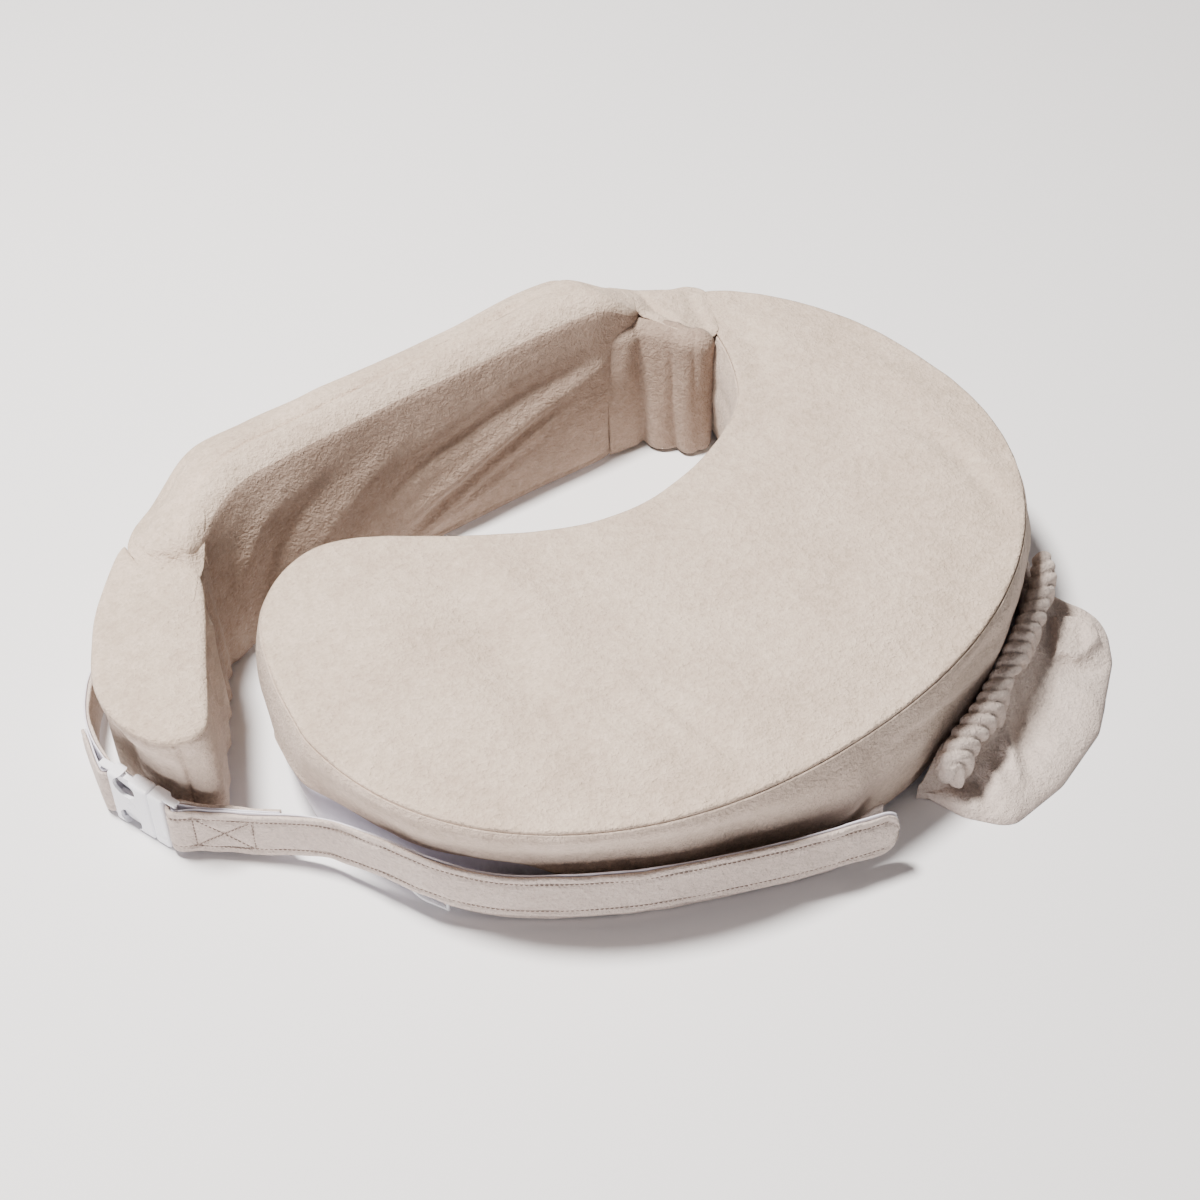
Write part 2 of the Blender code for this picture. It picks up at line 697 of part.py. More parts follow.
def build_socket(frame):
    length = SOCKET_END - SOCKET_START
    middle = SOCKET_START + length / 2
    body = rounded_box((length, BUCKLE_THICK, BUCKLE_WIDTH), (middle, 0.0, 0.0), 0.0024, 3)
    pieces = [body, *bar_and_rails(0.0, SOCKET_START)]
    item = union("buckle_female", pieces, WHITE_PLASTIC, 0.3, frame)
    cavity_length = SOCKET_END - CAVITY_START + 0.002
    cavity = box((cavity_length, CAVITY_THICK, 2 * CAVITY_HALF), (CAVITY_START + cavity_length / 2, 0.0, 0.0))
    cutters = [add_object("socket_cavity", placed(cavity, frame), WHITE_PLASTIC)]
    for side, name in ((-1, "lower"), (1, "upper")):
        centre = (WINDOW_START + WINDOW_LENGTH / 2, 0.0, side * (BUCKLE_WIDTH / 2 - WINDOW_DEPTH * 0.45))
        shape = Matrix.Translation(Vector(centre)) @ Matrix.Rotation(math.radians(90.0), 4, "X")
        shape = shape @ Matrix.Diagonal((WINDOW_LENGTH / 2, WINDOW_DEPTH / 2, 1.0, 1.0))
        window = rod(1.0, 0.030, shape, 24)
        cutters.append(add_object(f"socket_window_{name}", placed(window, frame), WHITE_PLASTIC))
    cut(item, cutters)


def build_plug(frame):
    base_start = SOCKET_END + GAP
    base_end = BUCKLE_LENGTH - SOCKET_START
    base_length = base_end - base_start
    centre = base_start + base_length / 2
    base = rounded_box((base_length, BUCKLE_THICK, BUCKLE_WIDTH), (centre, 0.0, 0.0), 0.0020, 3)
    tongue_length = SOCKET_END - TONGUE_START + 0.004
    tongue_middle = (TONGUE_START + tongue_length / 2, 0.0, 0.0)
    tongue = rounded_box((tongue_length, 0.0040, 0.0100), tongue_middle, 0.0008, 1)
    pieces = [base, tongue]
    pieces += bar_and_rails(BUCKLE_LENGTH, base_end)
    union("buckle_male", pieces, WHITE_PLASTIC, 0.3, frame)

    for side, name in ((1, "prong_upper"), (-1, "prong_lower")):
        root = frame @ Matrix.Translation(Vector((base_start - GAP - 0.0002, 0.0, side * PRONG_SPREAD)))
        plan = prong_profile(side)
        rings = []
        for depth in (-PRONG_THICK / 2, PRONG_THICK / 2):
            rings.append([(x, depth, z) for x, z in plan])
        add_object(name, placed(stacked(rings), root), WHITE_PLASTIC, 0.3, matrix=root)


def prong_profile(side):
    """A latch prong seen flat-on, from its root towards its tip, with the thumb pad on its outer edge."""
    spine = [
        (0.0, -0.0016),
        (-0.0120, -0.0012),
        (-0.0220, 0.0010),
        (-0.0290, 0.0030),
        (-0.0290, 0.0052),
        (-0.0262, 0.0076),
        (-0.0200, 0.0088),
        (-0.0140, 0.0080),
        (-0.0115, 0.0050),
        (-0.0105, 0.0020),
        (0.0, 0.0016),
    ]
    return [(x, side * z) for x, z in spine]


# ---- pocket


def build_pocket(loop, tuck):
    """A flat pouch on the floor against the platform's front right, with a gathered elastic mouth."""
    spots = [i for i in range(len(loop)) if loop[i][0] > 0.050 and loop[i][1] < -0.100 and i < 33]
    run = loop[spots]
    length = lengths_along(run)
    fine = np.linspace(0.0, length[-1], 30)
    path = np.stack([np.interp(fine, length, run[:, k]) for k in (0, 1)], 1)
    share = np.linspace(-1.0, 1.0, len(path))
    reach = np.sqrt(np.clip(1.0 - np.abs(share) ** 3.2, 0.0, 1.0)) * 0.93 + 0.07
    normals = outward(path, closed=False)

    def body(profile, stretch, run_in):
        sections = []
        for i in range(run_in, len(path) - run_in):
            section = []
            for away, height in profile:
                place = path[i] + normals[i] * (0.003 + (away - 0.003) * stretch[i])
                section.append((*place, height))
            sections.append(section)
        return stacked(sections)

    pouch_profile = [
        (0.0030, 0.0004),
        (0.0700, 0.0004),
        (0.0780, 0.0040),
        (0.0765, 0.0120),
        (0.0500, 0.0160),
        (0.0190, 0.0130),
        (0.0190, 0.0034),
        (0.0030, 0.0034),
    ]
    pouch = add_object("pocket_pouch", body(pouch_profile, reach, 0), PLUSH)
    hollow_profile = [
        (0.0150, 0.0030),
        (0.0680, 0.0030),
        (0.0745, 0.0052),
        (0.0735, 0.0098),
        (0.0500, 0.0134),
        (0.0150, 0.0102),
    ]
    hollow = add_object("pouch_hollow", body(hollow_profile, reach, 3), PLUSH)
    cut(pouch, [hollow])

    band_radius = 0.0070
    band_middle = (0.0280, 0.0245)
    band_profile = arc(band_middle, band_radius, 0.0, 324.0, 9)
    settle = np.minimum(1.0, np.sqrt(np.clip(1.0 - np.abs(share) ** 6, 0.0, 1.0)) * 0.75 + 0.25)
    sections = []
    for i in range(len(path)):
        section = []
        for away, height in band_profile:
            centre_away = 0.0105 + (band_middle[0] - 0.0105) * settle[i]
            place = path[i] + normals[i] * (centre_away + away - band_middle[0])
            section.append((*place, height))
        sections.append(section)
    add_object("pocket_elastic", stacked(sections), PLUSH)


def build():
    clear_scene()
    loop, tuck = build_platform()
    build_gusset()
    build_backrest()
    build_end()
    build_zip()
    route, lengths = build_strap()
    build_ring(*build_landing(route, lengths))
    build_tab()
    frame = buckle_frame()
    build_socket(frame)
    build_plug(frame)
    build_pocket(loop, tuck)


build()
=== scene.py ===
"""Looks of the nursing pillow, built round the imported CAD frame. Metres, +Z up."""

import json
import math

import bmesh
import bpy
import numpy as np
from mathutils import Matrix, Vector
from mathutils.bvhtree import BVHTree
from mathutils.geometry import delaunay_2d_cdt

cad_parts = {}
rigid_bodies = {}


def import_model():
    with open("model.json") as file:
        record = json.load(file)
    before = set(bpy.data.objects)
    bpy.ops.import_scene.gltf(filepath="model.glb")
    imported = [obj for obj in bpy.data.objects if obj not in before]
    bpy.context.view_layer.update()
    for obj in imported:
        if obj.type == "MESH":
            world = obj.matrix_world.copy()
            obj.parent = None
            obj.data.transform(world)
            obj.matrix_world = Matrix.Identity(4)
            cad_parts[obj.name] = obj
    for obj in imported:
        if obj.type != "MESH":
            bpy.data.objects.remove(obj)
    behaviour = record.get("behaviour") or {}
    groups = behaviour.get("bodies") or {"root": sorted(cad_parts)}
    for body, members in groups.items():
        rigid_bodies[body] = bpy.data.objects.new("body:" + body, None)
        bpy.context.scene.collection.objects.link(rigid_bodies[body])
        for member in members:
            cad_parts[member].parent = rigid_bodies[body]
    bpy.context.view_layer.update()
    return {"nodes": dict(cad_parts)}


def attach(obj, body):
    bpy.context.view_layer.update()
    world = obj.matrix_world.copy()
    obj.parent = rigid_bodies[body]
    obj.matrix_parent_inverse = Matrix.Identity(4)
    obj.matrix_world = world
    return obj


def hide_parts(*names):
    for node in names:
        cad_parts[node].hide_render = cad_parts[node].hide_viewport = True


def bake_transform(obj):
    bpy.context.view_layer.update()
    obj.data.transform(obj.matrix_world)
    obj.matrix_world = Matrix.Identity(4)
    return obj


for item in list(bpy.data.objects):
    bpy.data.objects.remove(item)

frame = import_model()
nodes = frame["nodes"]

# Sizes in metres. The platform's outline is a flattened oval in front and a drawn curve at the waist.
PLATFORM_HEIGHT = 0.108
SEAM_Z = PLATFORM_HEIGHT - 0.0015
WALL_TOP = 0.1058
HEM_HEIGHT = 0.036
HALF_WIDTH = 0.287
FRONT_DEPTH = 0.225
WIDEST_Y = 0.02
FRONT_POWER = 2.15
BULGE = 0.0035
OUTLINE_STEP = 0.003
PANEL_CLOTH = 0.0025
END_CLOTH = 0.002
PLEAT_CLOTH = 0.0018
BRIDGE_CLOTH = 0.001
PLATFORM_FOLD_SCALE = 1.5
BACKREST_FOLD_SCALE = 1.4
BACKREST_SHOULDER = 0.013
BACKREST_FOOT = 0.0035
BACKREST_HEIGHT = 0.134
BACKREST_SLOPE = 0.207
BACKREST_CREST_Y = 0.225
END_HEIGHT = 0.113
END_TUCK = 0.017
HINGE = (0.125, 0.226)
HINGE_RADIUS = 0.03
CREASE = (-0.257, 0.225)
CREASE_RADIUS = 0.033
STRAP_WIDTH = 0.041
STRAP_FOOT = 0.0035
STRAP_LIFT = 0.0075
STRAP_STACK = 0.0075
STRAP_PLUSH = 0.002
STRAP_LINING = 0.0012
STRAP_FOLDED_END = 0.07
TAB_FOLDED_END = 0.04
TAB_CLOSING = 0.03
LANDING_START = 0.186
STITCH_INSET = 0.0062
STITCH_PITCH = 0.0032
STITCH_LENGTH = 0.0026
THREAD_RADIUS = 0.00045
PATCH_START = 0.135
PATCH_STOP = 0.05
GATHER_PITCH = 0.0118
GATHER_SIDES = 36
SOCKET_BAR = (-0.38, 0.127)
PLUG_BAR = (-0.361, 0.068)
BAR_RADIUS = 0.0016
CAMERA_AZIMUTH = -38.5
CAMERA_ELEVATION = 47.0
CAMERA_DISTANCE = 1.5
CAMERA_TARGET = (-0.0293, 0.0363, 0.05)
CAMERA_LENS = 63.0
FLOOR_REACH = 6.0
# Each light: its place, what it points at, its size, its power in watts and its colour.
KEY_LIGHT = ((-0.52, 0.6, 2.44), (-0.02, 0.0, 0.06), 0.45, 196.0, (1.0, 0.965, 0.915))
FILL_LIGHT = ((-1.7, -0.7, 0.2), (-0.1, -0.05, 0.05), 0.6, 20.0, (1.0, 0.95, 0.96))
SKY_COLOUR = (1.0, 0.955, 0.955, 1.0)
SKY_STRENGTH = 0.17
TAB_PATH = [SOCKET_BAR, (-0.3765, 0.15), (-0.369, 0.176), (-0.352, 0.203), (-0.329, 0.225)]
STRAP_PATH = [
    PLUG_BAR,
    (-0.327, 0.036), (-0.2955, 0.001), (-0.278, -0.037), (-0.262, -0.075), (-0.237, -0.107),
    (-0.2, -0.138), (-0.158, -0.166), (-0.121, -0.1845), (-0.066, -0.209), (-0.026, -0.2235),
    (0.005, -0.2335),
]


# ---- plan curves


def smooth_step(value):
    value = np.clip(value, 0.0, 1.0)
    return value * value * (3.0 - 2.0 * value)


def bell(value, width):
    """1 at zero, and almost nothing beyond two widths."""
    return np.exp(-((value / width) ** 2))


def raised(plan, height):
    """Plan points given one height, or a height each."""
    return np.column_stack([plan, np.broadcast_to(height, len(plan))])


def pushed(plan, ways, push, height):
    """Plan points moved along their own directions, at a height."""
    return raised(plan + ways * push[:, None], height)


def curve_through(points, per_span, closed=False):
    """A Catmull-Rom curve through the given points."""
    points = np.array(points, float)
    count = len(points)
    spans = count if closed else count - 1
    made = []
    for i in range(spans):
        if closed:
            before, here, after, beyond = (points[(i + k) % count] for k in (-1, 0, 1, 2))
        else:
            here, after = points[i], points[i + 1]
            before = points[i - 1] if i else 2 * here - after
            beyond = points[i + 2] if i + 2 < count else 2 * after - here
        for step in range(per_span):
            t = step / per_span
            made.append(
                0.5
                * (
                    2 * here
                    + (after - before) * t
                    + (2 * before - 5 * here + 4 * after - beyond) * t**2
                    + (3 * here - before - 3 * after + beyond) * t**3
                )
            )
    if not closed:
        made.append(points[-1])
    return np.array(made)


def arc(centre, radius, start_deg, stop_deg, steps):
    angles = np.radians(np.linspace(start_deg, stop_deg, steps + 1))
    return np.stack([centre[0] + radius * np.cos(angles), centre[1] + radius * np.sin(angles)], 1)


def outward(loop, closed=True):
    """Directions to the right of travel, which is outward on a counter-clockwise loop."""
    if closed:
        along = np.roll(loop, -1, 0) - np.roll(loop, 1, 0)
    else:
        along = np.gradient(loop, axis=0)
    along /= np.linalg.norm(along, axis=1)[:, None] + 1e-12
    return np.stack([along[:, 1], -along[:, 0]], 1)


def moved_out(loop, distance, closed=True):
    return loop + outward(loop, closed) * np.reshape(distance, (-1, 1))


def lengths_along(path):
    steps = np.linalg.norm(np.diff(path, axis=0), axis=1)
    return np.concatenate([[0.0], np.cumsum(steps)])


def resampled(path, spacing, closed=False):
    """Columns of the path at even distances, measured on its first two columns."""
    path = np.asarray(path, float)
    if closed:
        path = np.concatenate([path, path[:1]])
    run = lengths_along(path[:, :2])
    count = max(2, int(round(run[-1] / spacing)))
    spots = np.linspace(0.0, run[-1], count + 1)
    if closed:
        spots = spots[:-1]
    return np.stack([np.interp(spots, run, path[:, k]) for k in range(path.shape[1])], 1)


def softened(path, spread, closed=True):
    """Rounds the corners of an evenly spaced path with a bell-shaped average."""
    reach = max(1, int(round(spread / np.linalg.norm(path[1, :2] - path[0, :2]))))
    weights = np.hanning(2 * reach + 3)[1:-1]
    weights /= weights.sum()
    if closed:
        padded = np.concatenate([path[-reach:], path, path[:reach]])
    else:
        first = 2 * path[0] - path[1 : reach + 1][::-1]
        last = 2 * path[-1] - path[-reach - 1 : -1][::-1]
        padded = np.concatenate([first, path, last])
    return np.stack([np.convolve(padded[:, k], weights, "valid") for k in range(path.shape[1])], 1)


# ---- cloth texture in the shape itself


def hashed(cells, seed):
    """A fixed value from -1 to 1 for each whole-number cell."""
    x, y, z = (cells[..., k].astype(np.int64) for k in range(3))
    mixed = x * 374761393 + y * 668265263 + z * 1274126177 + seed * 974634777
    mixed = (mixed ^ (mixed >> 13)) * 1103515245
    mixed = mixed ^ (mixed >> 16)
    return (mixed & 0xFFFFFF) / float(0xFFFFFF) * 2.0 - 1.0


def rough(points, size, seed=0):
    """Smooth noise from -1 to 1 at each point; size is one length, or one for each axis."""
    scaled = np.asarray(points, float) / np.asarray(size, float) + 57.3
    cell = np.floor(scaled)
    part = scaled - cell
    part = part * part * part * (part * (part * 6 - 15) + 10)
    total = 0.0
    for corner in range(8):
        step = np.array([corner & 1, corner >> 1 & 1, corner >> 2 & 1])
        weight = np.prod(np.where(step, part, 1.0 - part), axis=-1)
        total = total + weight * hashed(cell + step, seed)
    return total


def along_segment(points, start, stop):
    """How far along a segment each point lies, 0 to 1, and how far beside it."""
    start = np.asarray(start, float)
    way = np.asarray(stop, float) - start
    share = (points - start) @ way / (way @ way)
    foot = start + np.clip(share, 0.0, 1.0)[:, None] * way
    side = way[0] * (points[:, 1] - start[1]) - way[1] * (points[:, 0] - start[0])
    return share, np.linalg.norm(points - foot, axis=1) * np.sign(side)


def fold(points, line, depth, width, lean=0.0):
    """A soft groove (negative depth) or ridge along a line of 2-D points, fading at both ends."""
    line = curve_through(line, 6)
    run = lengths_along(line)
    best = np.full(len(points), 1e9)
    place = np.zeros(len(points))
    for k in range(len(line) - 1):
        share, beside = along_segment(points, line[k], line[k + 1])
        nearer = np.abs(beside) < np.abs(best)
        best = np.where(nearer, beside, best)
        here = run[k] + np.clip(share, 0.0, 1.0) * (run[k + 1] - run[k])
        place = np.where(nearer, here, place)
    fade = np.sin(np.pi * np.clip(place / run[-1], 0.02, 0.98)) ** 0.6
    near = bell(best, width)
    shoulder = np.exp(-(((best - lean * width * 1.6) / (width * 1.4)) ** 2))
    return depth * fade * (near - 0.45 * abs(lean) * shoulder)


def all_folds(points, rows):
    """Several folds together. Each row is a line, its depth, its width and how far it leans."""
    return sum(fold(points, *row) for row in rows)


def rounded_edge(away, radius):
    """A quarter round over the first stretch from an edge, 0 to 1."""
    return np.sqrt(np.clip(1.0 - (1.0 - np.clip(away / radius, 0.0, 1.0)) ** 2, 0.0, 1.0))


# ---- meshes


def new_piece(name, vertices, faces, material, smooth=True):
    mesh = bpy.data.meshes.new(name)
    mesh.from_pydata([tuple(map(float, v)) for v in vertices], [], faces)
    mesh.validate()
    mesh.update()
    if smooth:
        mesh.shade_smooth()
    item = bpy.data.objects.new(name, mesh)
    bpy.context.scene.collection.objects.link(item)
    if material is not None:
        mesh.materials.append(material)
    return item


def outward_facing(item):
    """Faces of a closed skin turned outward."""
    bm = bmesh.new()
    bm.from_mesh(item.data)
    bmesh.ops.remove_doubles(bm, verts=bm.verts, dist=1e-6)
    bmesh.ops.recalc_face_normals(bm, faces=bm.faces)
    if bm.calc_volume(signed=True) < 0.0:
        bmesh.ops.reverse_faces(bm, faces=bm.faces)
    bm.to_mesh(item.data)
    bm.free()
    item.data.shade_smooth()
    return item


def facing_up(item):
    """Faces turned alike, and mostly up."""
    bm = bmesh.new()
    bm.from_mesh(item.data)
    bmesh.ops.recalc_face_normals(bm, faces=bm.faces)
    if sum(face.normal.z * face.calc_area() for face in bm.faces) < 0.0:
        bmesh.ops.reverse_faces(bm, faces=bm.faces)
    bm.to_mesh(item.data)
    bm.free()
    item.data.shade_smooth()


def from_rings(name, rings, material, around=True, capped=True):
    """A skin over rings of equal length. Rings run low to high, and `around` closes each ring."""
    rings = [np.asarray(ring, float) for ring in rings]
    count = len(rings[0])
    vertices = np.concatenate(rings)
    faces = []
    for level in range(len(rings) - 1):
        for i in range(count if around else count - 1):
            j = (i + 1) % count
            a, b = level * count, (level + 1) * count
            faces.append((a + i, a + j, b + j, b + i))
    if capped and around:
        faces.append(tuple(range(count - 1, -1, -1)))
        faces.append(tuple((len(rings) - 1) * count + i for i in range(count)))
    return outward_facing(new_piece(name, vertices, faces, material))


def thickened(item, thickness):
    """Gives an open skin a back, so that its edge shows a cloth's thickness."""
    solid = item.modifiers.new("thick", "SOLIDIFY")
    solid.thickness = thickness
    solid.offset = -1.0
    applied(item)
    return item


def applied(item):
    """The item with its modifiers made part of its mesh."""
    depsgraph = bpy.context.evaluated_depsgraph_get()
    mesh = bpy.data.meshes.new_from_object(item.evaluated_get(depsgraph))
    item.modifiers.clear()
    item.data = mesh
    item.data.shade_smooth()
    return item


def cap_mesh(loop, insets, spacing):
    """Points and triangles that fill a plan loop: rows close to its edge, then an even field.
    Returns the points, the triangles and each point's distance from the loop."""
    rows = [moved_out(loop, -inset) for inset in insets]
    low, high = loop.min(0), loop.max(0)
    lines = []
    for j, y in enumerate(np.arange(low[1], high[1], spacing * 0.866)):
        x = np.arange(low[0], high[0], spacing) + (spacing / 2 if j % 2 else 0.0)
        lines.append(np.stack([x, np.full(len(x), y)], 1))
    field = np.concatenate(lines)
    away = distance_to(field, loop)
    inside = inside_loop(field, loop)
    field = field[inside & (away > insets[-1] + spacing * 0.7)]
    points = np.concatenate(rows + [field])
    count = len(loop)
    edges = [(i, (i + 1) % count) for i in range(count)]
    made = delaunay_2d_cdt([Vector(p) for p in points.tolist()], edges, [], 1, 1e-7)
    points = np.array([tuple(p) for p in made[0]])
    return points, [tuple(f) for f in made[2]], distance_to(points, loop)


def distance_to(points, loop):
    """Each point's distance from a closed loop."""
    ways = np.roll(loop, -1, 0) - loop
    squares = np.sum(ways**2, 1)
    best = np.full(len(points), 1e9)
    for chunk in range(0, len(points), 2000):
        part = points[chunk : chunk + 2000]
        gap = part[:, None] - loop[None]
        share = np.clip(np.sum(gap * ways[None], 2) / squares[None], 0.0, 1.0)
        gap -= share[..., None] * ways[None]
        best[chunk : chunk + 2000] = np.sqrt(np.min(np.sum(gap**2, 2), 1))
    return best


def inside_loop(points, loop):
    x, y = points.T
    after = np.roll(loop, -1, 0)
    inside = np.zeros(len(points), bool)
    for (ax, ay), (bx, by) in zip(loop, after):
        crosses = (ay > y) != (by > y)
        if crosses.any():
            at = ax + (y - ay) / (by - ay + 1e-15) * (bx - ax)
            inside ^= crosses & (x < at)
    return inside


def stitch_row(name, path, face, material):
    """A row of short thread stitches along a 3-D path that lies on a surface whose normals are `face`."""
    run = lengths_along(path)
    spots = np.arange(STITCH_PITCH, run[-1] - STITCH_PITCH / 2, STITCH_PITCH)
    vertices, faces = [], []
    sides = 6
    for spot in spots:
        ends = []
        for where in (-0.5, -0.3, 0.0, 0.3, 0.5):
            at = spot + where * STITCH_LENGTH
            ends.append(np.array([np.interp(at, run, path[:, k]) for k in range(3)]))
        up = np.array([np.interp(spot, run, face[:, k]) for k in range(3)])
        up /= np.linalg.norm(up)
        way = ends[-1] - ends[0]
        way /= np.linalg.norm(way)
        across = np.cross(way, up)
        base = len(vertices)
        for centre, size, lift in zip(ends, (0.25, 0.85, 1.0, 0.85, 0.25), (-1.0, -0.1, 0.25, -0.1, -1.0)):
            for k in range(sides):
                angle = 2 * math.pi * k / sides
                away = across * math.cos(angle) + up * math.sin(angle)
                vertices.append(centre + (up * lift + away * size) * THREAD_RADIUS)
        for ring in range(4):
            for k in range(sides):
                a = base + ring * sides
                faces.append((a + k, a + (k + 1) % sides, a + sides + (k + 1) % sides, a + sides + k))
        faces.append(tuple(base + k for k in range(sides - 1, -1, -1)))
        faces.append(tuple(base + 4 * sides + k for k in range(sides)))
    return new_piece(name, vertices, faces, material)


# ---- materials


def node(tree, kind, place, inputs=None, **values):
    made = tree.nodes.new(kind)
    made.location = place
    for key, value in values.items():
        setattr(made, key, value)
    for key, value in (inputs or {}).items():
        made.inputs[key].default_value = value
    return made


def new_material(name, inputs):
    """A material with these values on its shader, and its object coordinates."""
    made = bpy.data.materials.new(name)
    made.use_nodes = True
    tree = made.node_tree
    shader = tree.nodes["Principled BSDF"]
    for key, value in inputs.items():
        shader.inputs[key].default_value = value
    place = node(tree, "ShaderNodeTexCoord", (-1400, 0)).outputs["Object"]
    return made, tree, shader, place


def texture(tree, place, kind, spot, inputs, **values):
    """A noise or wave texture in object coordinates."""
    made = node(tree, kind, spot, inputs, **values)
    tree.links.new(place, made.inputs["Vector"])
    return made


def two_tones(tree, spot, dark, light):
    return node(tree, "ShaderNodeMix", spot, {6: (*dark, 1.0), 7: (*light, 1.0)}, data_type="RGBA")


def bumped(tree, spot, height, strength, distance, onto):
    """A bump from a height. Its normal goes to a shader or to a finer bump."""
    made = node(tree, "ShaderNodeBump", spot, {"Strength": strength, "Distance": distance})
    tree.links.new(height, made.inputs["Height"])
    tree.links.new(made.outputs["Normal"], onto.inputs["Normal"])
    return made


def plush(name, light, dark, grain=1.0, sheen=0.14):
    """Short-pile plush: a soft mottle, the pile's grain, and faint knitted rows."""
    finish = {
        "Roughness": 0.95,
        "Specular IOR Level": 0.15,
        "Sheen Weight": sheen,
        "Sheen Roughness": 0.45,
        "Sheen Tint": (1.0, 0.96, 0.92, 1.0),
    }
    made, tree, shader, place = new_material(name, finish)
    link = tree.links.new
    noise, wave = "ShaderNodeTexNoise", "ShaderNodeTexWave"
    broad = texture(tree, place, noise, (-1100, 300), {"Scale": 16.0, "Detail": 3.0})
    mottle = texture(tree, place, noise, (-1100, 50), {"Scale": 150.0, "Detail": 3.0, "Roughness": 0.6})
    pile = texture(tree, place, noise, (-1100, -200), {"Scale": 430.0, "Detail": 2.0, "Roughness": 0.7})
    rows = {"Scale": 150.0, "Distortion": 6.0, "Detail": 2.0, "Detail Scale": 2.0}
    knit = texture(tree, place, wave, (-1100, -450), rows, bands_direction="DIAGONAL")
    fine_share = node(tree, "ShaderNodeMath", (-900, 100), {1: 0.55}, operation="MULTIPLY")
    link(mottle.outputs["Fac"], fine_share.inputs[0])
    broad_share = node(tree, "ShaderNodeMath", (-900, 400), {1: 0.45}, operation="MULTIPLY")
    link(broad.outputs["Fac"], broad_share.inputs[0])
    sums = node(tree, "ShaderNodeMath", (-900, 250), operation="ADD")
    link(fine_share.outputs[0], sums.inputs[0])
    link(broad_share.outputs[0], sums.inputs[1])
    spread = node(tree, "ShaderNodeMapRange", (-800, 250), {"From Min": 0.36, "From Max": 0.64})
    link(sums.outputs[0], spread.inputs["Value"])
    tones = two_tones(tree, (-700, 250), dark, light)
    link(spread.outputs["Result"], tones.inputs["Factor"])
    depths = {"From Min": 0.3, "From Max": 0.7, "To Min": 1.0 - 0.2 * grain, "To Max": 1.0}
    ramp = node(tree, "ShaderNodeMapRange", (-700, -50), depths)
    link(pile.outputs["Fac"], ramp.inputs["Value"])
    shade = node(tree, "ShaderNodeMix", (-450, 250), data_type="RGBA", blend_type="MULTIPLY")
    shade.inputs["Factor"].default_value = 1.0
    link(tones.outputs[2], shade.inputs[6])
    link(ramp.outputs["Result"], shade.inputs[7])
    link(shade.outputs[2], shader.inputs["Base Color"])
    fine = bumped(tree, (-350, -250), pile.outputs["Fac"], 0.85 * grain, 0.0016, shader)
    coarse = bumped(tree, (-550, -350), mottle.outputs["Fac"], 0.6 * grain, 0.0028, fine)
    bumped(tree, (-750, -450), knit.outputs["Fac"], 0.125, 0.0006, coarse)
    return made


def woven(name, colour, pitch=1500.0):
    """Plain-woven lining: crossed threads with a slight unevenness."""
    finish = {"Roughness": 0.75, "Specular IOR Level": 0.25, "Sheen Weight": 0.12}
    made, tree, shader, place = new_material(name, finish)
    link = tree.links.new
    both = node(tree, "ShaderNodeMath", (-750, 50), operation="MULTIPLY")
    for index, way in enumerate(("X", "Z")):
        weave = {"Scale": pitch / 5.0, "Distortion": 0.6, "Detail": 1.0}
        spot = (-1000, 200 - 300 * index)
        thread = texture(tree, place, "ShaderNodeTexWave", spot, weave, bands_direction=way)
        link(thread.outputs["Fac"], both.inputs[index])
    uneven = texture(tree, place, "ShaderNodeTexNoise", (-1000, -400), {"Scale": 60.0, "Detail": 4.0})
    tones = two_tones(tree, (-450, 200), [c * 0.9 for c in colour], colour)
    link(uneven.outputs["Fac"], tones.inputs["Factor"])
    link(tones.outputs[2], shader.inputs["Base Color"])
    threads = bumped(tree, (-350, -200), both.outputs[0], 0.35, 0.0003, shader)
    bumped(tree, (-550, -350), uneven.outputs["Fac"], 0.35, 0.003, threads)
    return made


def moulded(name, colour, roughness, coat=0.3):
    """Moulded plastic: faint flow marks and a slightly uneven gloss."""
    finish = {
        "Coat Weight": coat,
        "Coat Roughness": 0.15,
        "Subsurface Weight": 0.08,
        "Subsurface Radius": (0.004, 0.004, 0.004),
        "Subsurface Scale": 0.5,
    }
    made, tree, shader, place = new_material(name, finish)
    link = tree.links.new
    flow = texture(tree, place, "ShaderNodeTexNoise", (-900, 200), {"Scale": 70.0, "Detail": 3.0})
    speck = texture(tree, place, "ShaderNodeTexNoise", (-900, -100), {"Scale": 1600.0, "Detail": 2.0})
    tones = two_tones(tree, (-500, 250), [c * 0.95 for c in colour], colour)
    link(flow.outputs["Fac"], tones.inputs["Factor"])
    link(tones.outputs[2], shader.inputs["Base Color"])
    range_of_gloss = {"To Min": roughness * 0.8, "To Max": roughness * 1.25}
    gloss = node(tree, "ShaderNodeMapRange", (-500, 0), range_of_gloss)
    link(flow.outputs["Fac"], gloss.inputs["Value"])
    link(gloss.outputs["Result"], shader.inputs["Roughness"])
    bumped(tree, (-400, -250), speck.outputs["Fac"], 0.08, 0.0002, shader)
    return made


PLUSH_TOP = plush("plush_top", (0.69, 0.55, 0.445), (0.54, 0.418, 0.33))
# The walls' copy of the plush is a little darker and cooler than the top's: painted shade.
PLUSH_WALL = plush("plush_wall", (0.65, 0.52, 0.435), (0.51, 0.4, 0.325))
# A darker copy of the plush for the backrest's waist-side wall and the pleats at both joints: painted shade,
# where those faces lie in shadow.
PLUSH_PAINTED_SHADE = plush("plush_painted_shade", (0.43, 0.32, 0.255), (0.33, 0.24, 0.188))
PLUSH_STRAP = plush("plush_strap", (0.67, 0.565, 0.505), (0.58, 0.48, 0.425), grain=1.1)
LINING = woven("lining", (0.8, 0.775, 0.86))
TAPE = woven("zip_weave", (0.7, 0.66, 0.62), 2600.0)
THREAD = woven("thread", (0.3, 0.235, 0.2), 5200.0)
PATCH = plush("hook_pile", (0.78, 0.75, 0.76), (0.66, 0.63, 0.64), grain=1.6, sheen=0.1)
BUCKLE_WHITE = moulded("buckle_white", (0.84, 0.84, 0.89), 0.28)
